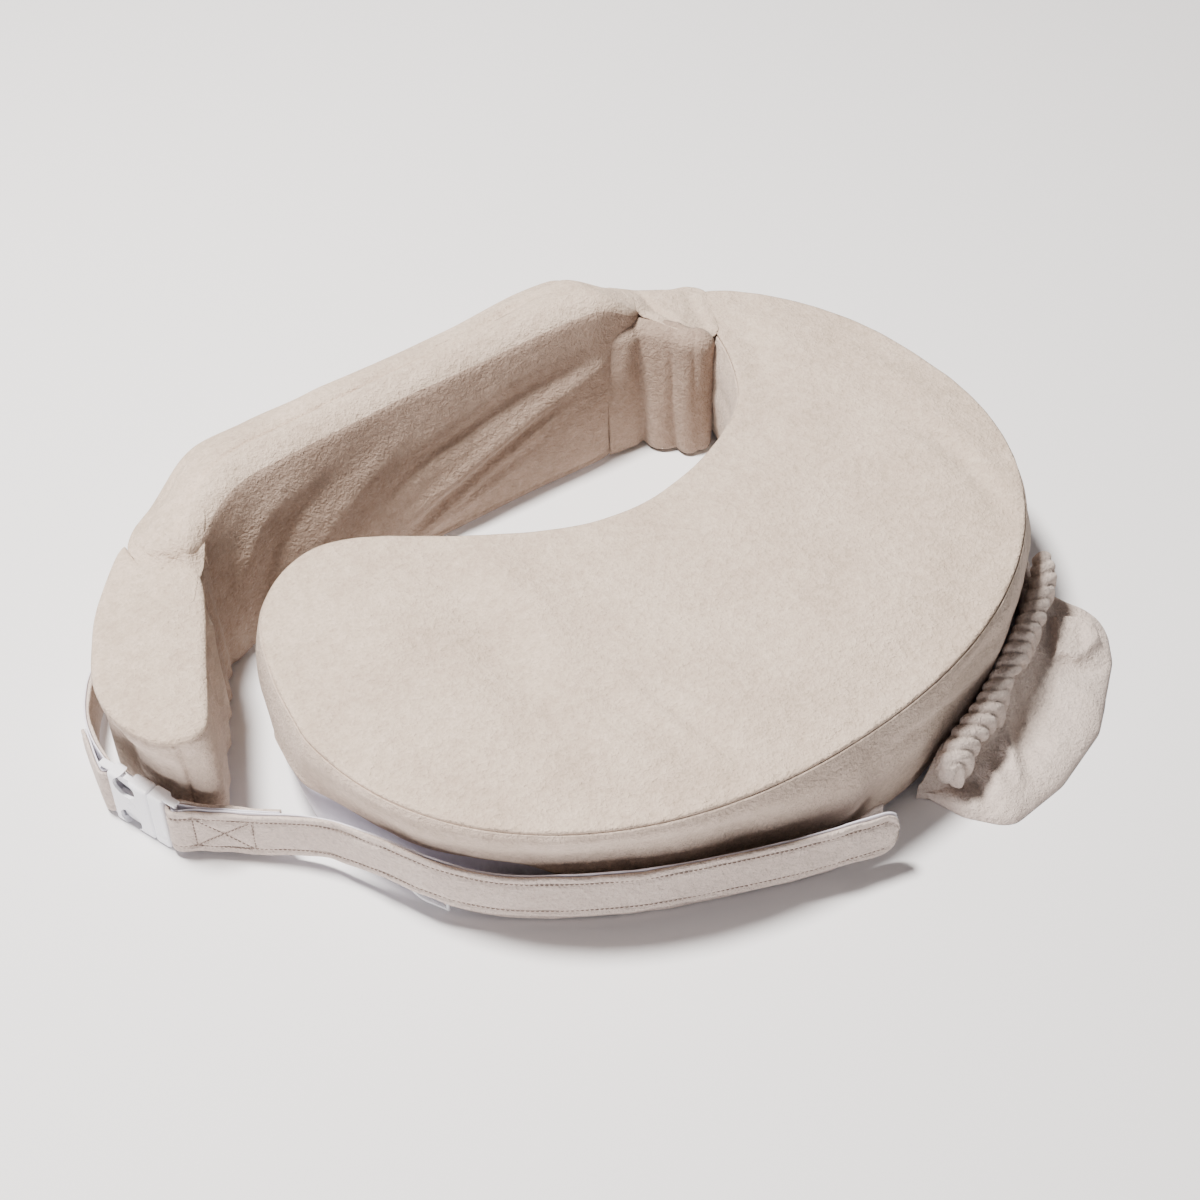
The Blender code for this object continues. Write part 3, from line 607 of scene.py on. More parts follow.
RING_WHITE = moulded("ring_white", (0.8, 0.8, 0.82), 0.16, coat=0.8)
ZIP_WHITE = moulded("zip_nylon", (0.78, 0.74, 0.7), 0.4)


# ---- camera, light and floor


def set_camera():
    camera = bpy.data.objects.new("camera", bpy.data.cameras.new("camera"))
    bpy.context.scene.collection.objects.link(camera)
    azimuth, elevation = math.radians(CAMERA_AZIMUTH), math.radians(CAMERA_ELEVATION)
    flat = math.cos(elevation)
    back = Vector((math.sin(azimuth) * flat, -math.cos(azimuth) * flat, math.sin(elevation)))
    camera.location = Vector(CAMERA_TARGET) + back * CAMERA_DISTANCE
    camera.rotation_mode = "QUATERNION"
    camera.rotation_quaternion = (-back).to_track_quat("-Z", "Y")
    camera.data.lens = CAMERA_LENS
    camera.data.sensor_width = 36.0
    camera.data.clip_start = 0.05
    bpy.context.scene.camera = camera


def add_area(name, place, target, size, power, colour):
    light = bpy.data.lights.new(name, "AREA")
    light.shape = "DISK"
    light.size = size
    light.energy = power
    light.color = colour
    lamp = bpy.data.objects.new(name, light)
    lamp.location = place
    lamp.rotation_mode = "QUATERNION"
    lamp.rotation_quaternion = (Vector(target) - Vector(place)).to_track_quat("-Z", "Y")
    bpy.context.scene.collection.objects.link(lamp)


def set_stage():
    world = bpy.data.worlds.new("studio")
    bpy.context.scene.world = world
    world.use_nodes = True
    back = world.node_tree.nodes["Background"]
    back.inputs["Color"].default_value = SKY_COLOUR
    back.inputs["Strength"].default_value = SKY_STRENGTH
    add_area("key", *KEY_LIGHT)
    add_area("fill", *FILL_LIGHT)
    corners = [(FLOOR_REACH * x, FLOOR_REACH * y, 0.0) for x, y in ((-1, -1), (1, -1), (1, 1), (-1, 1))]
    floor = new_piece("floor", corners, [(0, 1, 2, 3)], None, smooth=False)
    paper = bpy.data.materials.new("floor_paper")
    paper.use_nodes = True
    shader = paper.node_tree.nodes["Principled BSDF"]
    shader.inputs["Base Color"].default_value = (0.83, 0.82, 0.835, 1.0)
    shader.inputs["Roughness"].default_value = 0.9
    floor.data.materials.append(paper)


set_camera()
set_stage()


# ---- platform


def platform_outline():
    """The crescent's top seam, evenly spaced: x, y and how much the wall tucks in there."""
    angles = np.linspace(math.pi, 2.0 * math.pi, 200)
    cosines = np.cos(angles)
    front = np.stack(
        [
            HALF_WIDTH * np.sign(cosines) * np.abs(cosines) ** (2.0 / FRONT_POWER),
            WIDEST_Y - FRONT_DEPTH * np.abs(np.sin(angles)) ** (2.0 / FRONT_POWER),
        ],
        1,
    )
    far_lobe = [(0.2845, 0.062), (0.276, 0.104), (0.259, 0.145), (0.238, 0.177), (0.213, 0.201)]
    waist = [
        (0.196, 0.203), (0.1855, 0.176), (0.17, 0.132), (0.143, 0.091), (0.104, 0.068),
        (0.06, 0.0545), (0.01, 0.051), (-0.044, 0.068), (-0.102, 0.106), (-0.15, 0.143),
    ]
    near_lobe = [(-0.187, 0.158), (-0.226, 0.148), (-0.256, 0.12), (-0.276, 0.072)]
    rest = curve_through([tuple(front[-1])] + far_lobe + waist + near_lobe + [tuple(front[0])], 12)
    loop = np.concatenate([front, rest[1:-1]])
    first_waist = len(front) - 1 + 12 * (len(far_lobe) + 1)
    last_waist = first_waist + 12 * len(waist)
    tuck = smooth_step((0.12 - loop[:, 1]) / 0.1) * smooth_step((0.01 - loop[:, 0]) / 0.11)
    tuck[first_waist - 3 : last_waist + 1] = 0.0
    waist_side = np.zeros(len(loop))
    waist_side[first_waist:last_waist] = 1.0
    made = resampled(np.column_stack([loop, tuck, waist_side]), OUTLINE_STEP, closed=True)
    return softened(made[:, :2], 0.01), softened(made, 0.03)[:, 2], made[:, 3] > 0.5


def hem_height(loop):
    """Where the plush wall ends and the white under panel shows: high near the tab, low elsewhere."""
    low = smooth_step((loop[:, 0] + 0.215) / 0.06)
    low = np.maximum(low, smooth_step((loop[:, 1] - 0.06) / 0.04))
    lifted = smooth_step((-loop[:, 0] - 0.19) / 0.05) * smooth_step((0.11 - loop[:, 1]) / 0.04)
    return HEM_HEIGHT - 0.031 * low + 0.02 * lifted


def wall_offset(tuck, height):
    """How far the platform's wall stands out from the top seam at a height."""
    share = np.clip((height - 0.03) / (PLATFORM_HEIGHT - 0.032), 0.0, 1.0)
    bulge = BULGE * np.sin(math.pi * share) - 0.004 * (1.0 - smooth_step(height / 0.03))
    return bulge - tuck * smooth_step((0.104 - height) / 0.046)


OUTLINE, TUCK, WAIST = platform_outline()
NORMALS = outward(OUTLINE)


def strap_clearance(outline, normals):
    """How far the wall must step in behind the strap, at each point of the outline."""
    strap = moved_out(resampled(curve_through(STRAP_PATH, 16), 0.0015), -STRAP_STACK, closed=False)
    needed = np.zeros(len(outline))
    for i, (spot, way) in enumerate(zip(outline, normals)):
        along = (strap - spot) @ way
        aside = np.abs((strap - spot) @ np.array([-way[1], way[0]]))
        close = aside < 0.0025
        if close.any() and along[close].min() > -0.04:
            needed[i] = max(-0.013, BULGE + 0.0008 - along[close].min())
    needed = np.where(needed < 0.0, needed * smooth_step((outline[:, 0] + 0.215) / 0.06), needed)
    wide = np.array([needed[np.arange(i - 5, i + 6) % len(needed)].max() for i in range(len(needed))])
    return softened(np.column_stack([outline, wide]), 0.018)[:, 2]


TUCK = strap_clearance(OUTLINE, NORMALS)


PLATFORM_FOLDS = [
    ([(-0.128, 0.1), (-0.137, 0.04), (-0.146, -0.02), (-0.158, -0.085)], -0.0042, 0.02, 0.6),
    ([(-0.1, 0.085), (-0.104, 0.02), (-0.118, -0.05)], 0.0018, 0.018, 0.0),
    ([(-0.116, -0.062), (-0.107, -0.1), (-0.097, -0.146)], -0.0024, 0.0075, 0.9),
    ([(-0.09, -0.082), (-0.086, -0.125), (-0.078, -0.17)], -0.0026, 0.008, -0.9),
    ([(-0.14, -0.095), (-0.128, -0.13), (-0.112, -0.165)], 0.0018, 0.01, 0.0),
    ([(0.212, 0.012), (0.226, -0.03), (0.222, -0.08), (0.206, -0.128)], -0.003, 0.01, 0.7),
    ([(0.245, 0.075), (0.252, 0.02), (0.247, -0.03)], 0.0016, 0.012, 0.0),
    ([(0.173, 0.158), (0.153, 0.112), (0.136, 0.084), (0.103, 0.068)], -0.0012, 0.006, 0.5),
    ([(0.207, 0.165), (0.19, 0.12), (0.165, 0.085)], -0.0018, 0.012, 0.6),
    ([(-0.23, 0.115), (-0.2, 0.07), (-0.19, 0.01)], 0.002, 0.03, 0.0),
]


def platform_top():
    """The crowned top panel, with a rolled edge that tucks into the seam."""
    points, faces, away = cap_mesh(OUTLINE, (0.0, 0.0007, 0.0018, 0.0035, 0.006, 0.009), 0.0036)
    solid = raised(points, 0.0)
    edge = rounded_edge(away, 0.006)
    height = SEAM_Z - 0.0012 + 0.0036 * edge + 0.0045 * smooth_step(away / 0.07)
    height += 0.0016 * rough(solid, 0.085, 3) * smooth_step(away / 0.03)
    height += 0.0007 * rough(solid, 0.034, 5) * smooth_step(away / 0.015)
    height += 0.00035 * rough(solid, 0.012, 8)
    pucker = rough(solid, 0.016, 11) * np.exp(-((away - 0.012) / 0.01) ** 2)
    height += 0.0006 * pucker
    height += PLATFORM_FOLD_SCALE * all_folds(points, PLATFORM_FOLDS) * smooth_step(away / 0.012)
    vertices = raised(points, height)
    tucked = bell(away, 0.0012) * 0.002
    for k in np.flatnonzero(away < 0.002):
        nearest = int(np.argmin(np.sum((OUTLINE - points[k]) ** 2, 1)))
        vertices[k, :2] -= NORMALS[nearest] * tucked[k]
    item = new_piece("platform_cover_top", vertices, faces, PLUSH_TOP)
    facing_up(item)
    return thickened(item, PANEL_CLOTH)


WALL_FOLDS = [
    ([(-0.21, 0.095), (-0.15, 0.08), (-0.08, 0.074)], -0.002, 0.008, 0.0),
    ([(-0.12, 0.098), (-0.04, 0.088), (0.04, 0.088)], 0.0016, 0.009, 0.0),
    ([(0.01, 0.086), (0.07, 0.07), (0.12, 0.062)], -0.003, 0.007, 0.0),
    ([(0.09, 0.092), (0.15, 0.08), (0.19, 0.06)], -0.0024, 0.008, 0.0),
    ([(0.2, 0.095), (0.24, 0.08), (0.262, 0.05)], 0.002, 0.009, 0.0),
]


def wall_skin(name, spots, material, ridge_seed):
    """The platform's side wall over a run of outline points, from the hem up to the top seam."""
    shares = np.concatenate([np.linspace(0.0, 0.9, 28), [0.935, 0.965, 0.985, 1.0]])
    foot = hem_height(OUTLINE[spots])
    loop, tuck, normal = OUTLINE[spots], TUCK[spots], NORMALS[spots]
    rings = []
    for share in shares:
        z = foot + (WALL_TOP - foot) * share
        solid = raised(loop, z)
        push = wall_offset(tuck, z)
        free = smooth_step((0.104 - z) / 0.014)
        push = push + 0.0013 * rough(solid, (0.06, 0.06, 0.05), ridge_seed) * free
        push = push + 0.0006 * rough(solid, (0.022, 0.022, 0.045), ridge_seed + 1) * free
        push = push + 0.0003 * rough(solid, 0.011, ridge_seed + 2)
        push = push + all_folds(np.column_stack([loop[:, 0], z]), WALL_FOLDS) * free
        push = push - 0.001 * smooth_step((z - 0.1015) / 0.0035)
        push = push + 0.001 * bell(z - foot - 0.004, 0.003)
        if share == 0.0:
            z = z + 0.0008 * rough(solid, 0.03, 21)
        rings.append(pushed(loop, normal, push, z))
    skin = from_rings(name, rings, material, around=False, capped=False)
    turned_to(skin, normal[len(normal) // 2], loop[len(loop) // 2])
    return thickened(skin, PANEL_CLOTH)


def turned_to(item, way, spot):
    """Makes an open skin face `way` near a plan spot."""
    near = Vector(spot)
    polygon = min(item.data.polygons, key=lambda face: (face.center.xy - near).length)
    if polygon.normal.x * way[0] + polygon.normal.y * way[1] < 0.0:
        bm = bmesh.new()
        bm.from_mesh(item.data)
        bmesh.ops.reverse_faces(bm, faces=bm.faces)
        bm.to_mesh(item.data)
        bm.free()
        item.data.shade_smooth()


def liner():
    """The white under panel, turned up at the foot of the walls."""
    top = np.maximum(hem_height(OUTLINE) - 0.0005, 0.0045)
    made = []
    rows = [(0.0002, 0.016), (0.0004, 0.006), (0.0014, 0.0042), (0.0028, 0.0032)]
    rows += [(0.003 + (top - 0.003) * share, 0.0028) for share in np.linspace(0.0, 1.0, 14)]
    for z, inset in rows:
        z = np.broadcast_to(z, len(OUTLINE))
        solid = np.column_stack([OUTLINE, z])
        push = wall_offset(TUCK, z) - inset
        push = push + 0.0009 * rough(solid, (0.035, 0.035, 0.02), 31) * smooth_step(z / 0.01)
        made.append(pushed(OUTLINE, NORMALS, push, z))
    return from_rings("platform_liner", made, LINING)


def under_panel(name, plan, normal, top):
    """The white under panel of a backrest segment, up to just behind the foot of its walls."""
    rings = []
    for z, inset in ((0.0002, 0.01), (0.0004, 0.004), (0.0022, 0.0022), (top, 0.0022)):
        rings.append(np.column_stack([plan - normal * inset, np.full(len(plan), z)]))
    return from_rings(name, rings, LINING)


def build_platform():
    top = platform_top()
    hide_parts("platform_top_panel", "platform_foam")
    waist_spots = np.flatnonzero(WAIST)
    count = len(OUTLINE)
    first, last = waist_spots[0], waist_spots[-1]
    outer_spots = np.array([i % count for i in range(last, count + first + 1)])
    outer = wall_skin("platform_cover_outer", outer_spots, PLUSH_WALL, 41)
    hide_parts("platform_outer_wall")
    inner = wall_skin("platform_cover_waist", waist_spots, PLUSH_WALL, 51)
    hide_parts("platform_waist_wall")
    base = liner()
    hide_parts("platform_base_panel")
    for item, slot in ((top, "plush"), (outer, "plush"), (inner, "plush"), (base, "lining")):
        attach(item, "platform")


build_platform()


# ---- backrest, long segment


def backrest_loops():
    """The long segment's foot and its top in plan, point for point, evenly spaced."""
    hinge_end = arc(HINGE, HINGE_RADIUS, -90.0, 90.0, 12).tolist()
    crease_end = arc(CREASE, CREASE_RADIUS, 90.0, 270.0, 12).tolist()
    low_rear = [(0.1, 0.245), (-0.05, 0.2535), (-0.2, 0.262), (-0.228, 0.261)]
    low_waist = [(-0.225, 0.192), (-0.19, 0.195), (-0.06, 0.1975), (0.03, 0.1935), (0.095, 0.187)]
    high_rear = [(0.1, 0.27), (-0.05, 0.2785), (-0.2, 0.287), (-0.228, 0.276)]
    high_waist = [(-0.225, 0.215), (-0.19, 0.228), (-0.06, 0.228), (0.03, 0.221), (0.095, 0.208)]
    low = np.array(hinge_end + low_rear + crease_end + low_waist)
    high = np.array(hinge_end + high_rear + crease_end + high_waist)
    made = resampled(np.column_stack([(low + high) / 2, low, high]), OUTLINE_STEP, closed=True)
    made = softened(made, 0.018)
    return made[:, 2:4], made[:, 4:6]


BACK_RIDGES = [
    ([(0.108, 0.094), (0.055, 0.08), (0.000, 0.063), (-0.05, 0.046), (-0.095, 0.03)], 0.0045, 0.006, 0.0),
    ([(0.098, 0.101), (0.035, 0.094), (-0.014, 0.084), (-0.062, 0.074), (-0.11, 0.055)], -0.004, 0.0075, 0.0),
    ([(0.082, 0.074), (0.028, 0.058), (-0.012, 0.045), (-0.064, 0.021), (-0.085, 0.012)], 0.004, 0.0055, 0.0),
    ([(0.06, 0.072), (0.012, 0.057), (-0.035, 0.039), (-0.08, 0.023)], -0.0035, 0.005, 0.0),
    ([(0.03, 0.04), (-0.02, 0.026), (-0.075, 0.012)], 0.0025, 0.0045, 0.0),
    ([(-0.07, 0.1), (-0.11, 0.085), (-0.15, 0.062), (-0.18, 0.035)], 0.0028, 0.009, 0.0),
    ([(-0.12, 0.103), (-0.165, 0.086), (-0.205, 0.055), (-0.225, 0.02)], -0.0028, 0.009, 0.0),
    ([(-0.17, 0.108), (-0.205, 0.092), (-0.232, 0.055)], 0.0024, 0.007, 0.0),
    ([(0.075, 0.045), (0.06, 0.02)], -0.0018, 0.006, 0.0),
]
TOP_FOLDS = [
    ([(-0.06, 0.23), (-0.01, 0.229), (0.045, 0.226), (0.1, 0.215)], -0.005, 0.0048, 0.6),
    ([(0.01, 0.243), (0.045, 0.247), (0.08, 0.246)], -0.0032, 0.0048, 0.6),
    ([(-0.105, 0.242), (-0.07, 0.245), (-0.035, 0.243)], -0.002, 0.0055, 0.0),
    ([(-0.225, 0.236), (-0.17, 0.239), (-0.11, 0.236), (-0.06, 0.232)], -0.003, 0.009, 0.0),
    ([(-0.19, 0.262), (-0.12, 0.264), (-0.05, 0.26)], 0.0016, 0.012, 0.0),
    ([(-0.248, 0.258), (-0.238, 0.225), (-0.243, 0.2)], -0.003, 0.008, 0.0),
]
BACK_LINE = [
    (-0.257, 0.228), (-0.235, 0.243), (-0.2, 0.254), (0.03, 0.247), (0.1, 0.236), (0.125, 0.228),
]


def towards_line(plan, line):
    """The nearest point of a plan polyline to each point."""
    line = np.array(line, float)
    best = np.full(len(plan), 1e9)
    found = plan.copy()
    for a, b in zip(line, line[1:]):
        way = b - a
        share = np.clip((plan - a) @ way / (way @ way), 0.0, 1.0)
        foot = a + share[:, None] * way
        gap = np.linalg.norm(plan - foot, axis=1)
        found = np.where((gap < best)[:, None], foot, found)
        best = np.minimum(best, gap)
    return found


def back_top_z(plan):
    """Height of the long segment's top. It falls to the rear, to the crease and to the hinge."""
    z = BACKREST_HEIGHT + 0.0065 - BACKREST_SLOPE * (plan[:, 1] - BACKREST_CREST_Y)
    z = z + 0.0045 * smooth_step((plan[:, 0] - 0.01) / 0.07)
    z = z - 0.02 * smooth_step((-0.205 - plan[:, 0]) / 0.07)
    return z - 0.021 * smooth_step((plan[:, 0] - 0.1) / 0.045)


def build_backrest():
    """The long segment's cover: leaning walls with drag lines, a rolled shoulder and a soft top."""
    low, high = backrest_loops()
    normal = outward((low + high) / 2)
    waist_side = smooth_step((-normal[:, 1] - 0.2) / 0.5) * smooth_step((0.118 - low[:, 0]) / 0.02)
    waist_side = waist_side * smooth_step((low[:, 0] + 0.262) / 0.02)
    power = 1.0 + 0.8 * waist_side
    radius = BACKREST_SHOULDER
    top_z = back_top_z(high)

    def wrinkled(plan, z, share):
        solid = raised(plan, z)
        push = 0.0016 * rough(solid, (0.07, 0.07, 0.055), 61)
        push += 0.0006 * rough(solid, (0.024, 0.024, 0.03), 62)
        flat = np.column_stack([plan[:, 0], z])
        push += all_folds(flat, BACK_RIDGES) * waist_side
        hem = bell(z - 0.0085, 0.0016)
        push -= 0.0012 * hem * waist_side
        puff = 0.0016 * np.clip(np.sin(np.pi * np.clip(z / 0.0085, 0, 1)), 0, 1) * waist_side
        return plan + normal * (push * share + puff)[:, None]

    rings = []
    for share in [0.02, 0.035, 0.05, 0.064, 0.075, *np.linspace(0.1, 1.0, 34)]:
        z = BACKREST_FOOT + (top_z - radius - BACKREST_FOOT) * share
        part = (z / top_z) ** power
        plan = low + (high - low) * part[:, None]
        rings.append(np.column_stack([wrinkled(plan, z, smooth_step(share / 0.05)), z]))
    last = rings[-1]
    shoulder_plan = last[:, :2]
    for angle in np.radians([12, 24, 36, 48, 60, 72, 84]):
        rise = radius * math.sin(angle)
        inset = radius * (1.0 - math.cos(angle)) + 0.004 * waist_side * math.sin(angle)
        part = ((last[:, 2] + rise) / top_z) ** power
        lean = (high - low) * (part - (last[:, 2] / top_z) ** power)[:, None]
        plan = shoulder_plan + lean - normal * np.reshape(inset, (-1, 1))
        rings.append(raised(plan, last[:, 2] + rise))
    edge = rings[-1]
    middle = towards_line(edge[:, :2], BACK_LINE)
    for t in (0.08, 0.18, 0.29, 0.4, 0.51, 0.62, 0.72, 0.81, 0.89, 0.95, 0.985):
        plan = edge[:, :2] + (middle - edge[:, :2]) * t
        solid = raised(plan, 0.0)
        z = back_top_z(plan) + 0.0035 * math.sin(math.pi / 2 * min(1.0, t * 1.6))
        blend = smooth_step(t / 0.25)
        z = edge[:, 2] * (1.0 - blend) + z * blend + 0.0012 * smooth_step(t / 0.2) * (1 - blend)
        z = z + (0.0014 * rough(solid, 0.045, 66) + 0.0003 * rough(solid, 0.018, 67)) * blend
        z = z + BACKREST_FOLD_SCALE * all_folds(plan, TOP_FOLDS)
        rings.append(raised(plan, z))
    cover = from_rings("backrest_cover", rings, PLUSH_TOP)
    # The waist-side wall faces take the darker plush: painted shade.
    cover.data.materials.append(PLUSH_PAINTED_SHADE)
    around = len(low)
    shoulder_row = 39
    shaded = (waist_side > 0.5) | ((low[:, 0] > 0.1) & (low[:, 1] < 0.221))
    for polygon in cover.data.polygons:
        column = min(v % around for v in polygon.vertices)
        row = min(polygon.vertices) // around
        if len(polygon.vertices) == 4 and row < shoulder_row and shaded[column]:
            polygon.material_index = 1
    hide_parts("backrest_foam", "backrest_top_panel", "backrest_inner_wall", "backrest_outer_wall")
    base = under_panel("backrest_liner", low, normal, 0.0036)
    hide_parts("backrest_base_panel")
    for item, slot in ((cover, "plush"), (base, "lining")):
        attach(item, "backrest")


build_backrest()


# ---- backrest, end segment


def end_loop():
    """The end segment's plan, hollow where it folds about the crease."""
    hollow = arc(CREASE, CREASE_RADIUS + 0.001, 262.0, 160.0, 9)
    outer_side = [
        (-0.301, 0.23), (-0.334, 0.197), (-0.353, 0.17), (-0.37, 0.138), (-0.3745, 0.106),
        (-0.366, 0.074), (-0.349, 0.059), (-0.331, 0.061), (-0.319, 0.078), (-0.299, 0.113),
        (-0.28, 0.145), (-0.2665, 0.172),
    ]
    side = curve_through([tuple(hollow[-1])] + outer_side + [tuple(hollow[0])], 6)
    loop = np.concatenate([side, arc(CREASE, CREASE_RADIUS + 0.001, 262.0, 160.0, 30)[1:-1]])
    made = resampled(loop, 0.0026, closed=True)
    return softened(made, 0.006)


END_TOP_FOLDS = [
    ([(-0.322, 0.19), (-0.3, 0.18), (-0.284, 0.172)], -0.002, 0.005, 0.6),
    ([(-0.33, 0.165), (-0.305, 0.16), (-0.285, 0.152)], 0.0014, 0.008, 0.0),
    ([(-0.31, 0.21), (-0.3, 0.19), (-0.298, 0.17)], -0.002, 0.007, 0.6),
    ([(-0.345, 0.135), (-0.34, 0.1)], -0.0012, 0.014, 0.0),
]


END_PLEATS = [
    (-0.279, 0.148, 0.0034, 0.005), (-0.285, 0.137, -0.0024, 0.004),
    (-0.292, 0.125, 0.003, 0.0055), (-0.299, 0.113, -0.002, 0.0045),
    (-0.308, 0.098, 0.0014, 0.006),
]


def end_push(loop, height):
    """How far the end segment's foot tucks in behind the buckle."""
    tuck = smooth_step((-0.325 - loop[:, 0]) / 0.02) * smooth_step((0.165 - loop[:, 1]) / 0.035)
    return -END_TUCK * smooth_step((0.112 - height) / 0.06) * tuck


def build_end():
    loop = end_loop()
    normal = outward(loop)
    to_crease = np.linalg.norm(loop - np.array(CREASE), axis=1) - CREASE_RADIUS
    free = smooth_step((to_crease - 0.0025) / 0.01)
    points, faces, away = cap_mesh(loop, (0.0, 0.0007, 0.0017, 0.0032, 0.0055), 0.0032)
    solid = raised(points, 0.0)
    edge = rounded_edge(away, 0.0065)
    seam = END_HEIGHT - 0.002
    height = seam - 0.0012 + 0.0046 * edge + 0.003 * smooth_step(away / 0.03)
    height += 0.0012 * rough(solid, 0.045, 71) * smooth_step(away / 0.012) + 0.0004 * rough(solid, 0.013, 72)
    height += all_folds(points, END_TOP_FOLDS)
    top = new_piece("end_cover_top", raised(points, height), faces, PLUSH_TOP)
    facing_up(top)
    thickened(top, END_CLOTH)
    rings = []
    for z in [0.004, 0.006, *np.linspace(0.01, 0.104, 27), 0.1066, 0.1086, 0.11]:
        solid = raised(loop, z)
        push = end_push(loop, z)
        push = push + 0.0012 * rough(solid, (0.04, 0.04, 0.06), 75) * free
        push = push + 0.0007 * rough(solid, (0.012, 0.012, 0.04), 76) * free
        drag = rough(np.column_stack([loop[:, 0] + z * 0.6, loop[:, 1], np.full(len(loop), z)]), 0.016, 77)
        push = push + 0.0008 * drag * free * smooth_step((-loop[:, 1] + 0.13) / 0.03)
        corner = np.exp(-(((loop[:, 0] + 0.351) / 0.003) ** 2 + ((loop[:, 1] - 0.06) / 0.006) ** 2))
        push = push - 0.0022 * corner
        for x, y, depth, width in END_PLEATS:
            gap = np.linalg.norm(loop - np.array([x + 0.02 * (z - 0.05), y]), axis=1)
            push = push + depth * bell(gap, width) * smooth_step((0.106 - z) / 0.01)
        push = push - 0.0014 * smooth_step((z - 0.1055) / 0.004)
        rings.append(pushed(loop, normal, push, z))
    wall = from_rings("end_cover_wall", rings, PLUSH_WALL)
    base = under_panel("end_liner", loop + normal * end_push(loop, 0.0)[:, None], normal, 0.0044)
    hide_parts("end_top_panel", "end_foam")
    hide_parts("end_wall")
    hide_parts("end_base_panel")
    for item, slot in ((top, "plush"), (wall, "plush"), (base, "lining")):
        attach(item, "backrest_end")


build_end()


# ---- fabric across the two joints


def hanging_skin(name, low, high, span, folds, seed, material, roll=0.005):
    """Upright cloth between a foot line and a top line in plan, with upright pleats
    (place along the line, depth, width). Its top rolls over to the inside."""
    made = resampled(np.column_stack([curve_through(low, 12), curve_through(high, 12)]), 0.0015)
    made = softened(made, 0.004, closed=False)
    run = lengths_along(made[:, :2])
    push_all = np.zeros(len(made))
    spread = np.zeros(len(made))
    for place, depth, width in folds:
        push_all += depth * bell(run - place, width)
        spread += depth * np.exp(-(((run - place - 0.004) / width / 1.5) ** 2))
    ends = smooth_step(run / 0.008) * smooth_step((run[-1] - run) / 0.006)
    rings = []
    foot, head = span
    for share in np.linspace(0.0, 1.0, 44):
        lean = share**2.0
        path = made[:, :2] * (1.0 - lean) + made[:, 2:4] * lean
        normal = outward(path, closed=False)
        z = foot + (head - foot) * share
        solid = raised(path, z)
        sway = 1.0 + 0.3 * rough(solid, (0.02, 0.02, 0.05), seed) - 0.75 * share**3
        push = (push_all * share + spread * (1.0 - share)) * sway
        push = push + 0.0007 * rough(solid, (0.012, 0.012, 0.03), seed + 1)
        rings.append(np.column_stack([path + normal * (push * ends)[:, None], solid[:, 2]]))
    edge = rings[-1]
    for angle in np.radians([12, 24, 36, 48, 60, 72, 84, 96]):
        moved = edge[:, :2] - normal * roll * (1.0 - math.cos(angle))
        rings.append(np.column_stack([moved, edge[:, 2] + roll * math.sin(angle)]))
    skin = from_rings(name, rings, material, around=False, capped=False)
    return thickened(skin, PLEAT_CLOTH)


def bridge_cover(name, rim, under, folds, dip, seed, sink=0.0003, lift=0.001):
    """A soft skin laid over several finished pieces, which spans the gaps between them."""
    rim = softened(resampled(np.array(rim), 0.0022, closed=True), 0.008)
    points, faces, away = cap_mesh(rim, (0.0, 0.001, 0.0025), 0.0022)
    trees = []
    for piece in under:
        corners = [vertex.co for vertex in piece.data.vertices]
        trees.append(BVHTree.FromPolygons(corners, [polygon.vertices for polygon in piece.data.polygons]))
    height = np.full(len(points), np.nan)
    for k, (x, y) in enumerate(points):
        for tree in trees:
            hit = tree.ray_cast(Vector((x, y, 0.3)), Vector((0.0, 0.0, -1.0)))[0]
            if hit is not None and hit.z > 0.095:
                height[k] = hit.z if math.isnan(height[k]) else max(height[k], hit.z)
    missing = np.isnan(height)
    near_gap = distance_to_points(points, points[missing]) < 0.0035 if missing.any() else missing
    edges = {tuple(sorted((f[i], f[(i + 1) % 3]))) for f in faces for i in range(3)}
    pairs = np.array(sorted(edges))
    height[missing] = np.nanmean(height)
    loose = near_gap | missing
    for sweep in range(240):
        total = np.zeros(len(points))
        count = np.zeros(len(points))
        for a, b in ((0, 1), (1, 0)):
            np.add.at(total, pairs[:, a], height[pairs[:, b]])
            np.add.at(count, pairs[:, a], 1.0)
        even = total / count
        height = np.where(loose, even, height) if sweep < 225 else 0.5 * height + 0.5 * even
    solid = raised(points, 0.0)
    inner = smooth_step(away / 0.007)
    height += -sink + lift * inner
    depth_share = smooth_step(distance_to_points(points, points[~loose]) / 0.01) if loose.any() else 0.0
    height -= dip * depth_share
    height += (0.0011 * rough(solid, 0.014, seed) + 0.0004 * rough(solid, 0.006, seed + 1)) * inner
    height += all_folds(points, folds) * inner
    cover = new_piece(name, raised(points, height), faces, PLUSH_TOP)
    facing_up(cover)
    return thickened(cover, BRIDGE_CLOTH)


def distance_to_points(points, others):
    """Each point's distance from the nearest of the others."""
    best = np.full(len(points), 1e9)
    for spot in others:
        best = np.minimum(best, np.sum((points - spot) ** 2, 1))
    return np.sqrt(best)


GUSSET_FOLDS = [
    ([(0.16, 0.225), (0.158, 0.2), (0.163, 0.175)], -0.004, 0.0035, 0.4),
    ([(0.15, 0.2), (0.165, 0.185), (0.178, 0.182)], 0.003, 0.005, 0.0),
    ([(0.15, 0.185), (0.16, 0.165), (0.165, 0.155)], -0.003, 0.0035, 0.0),
]


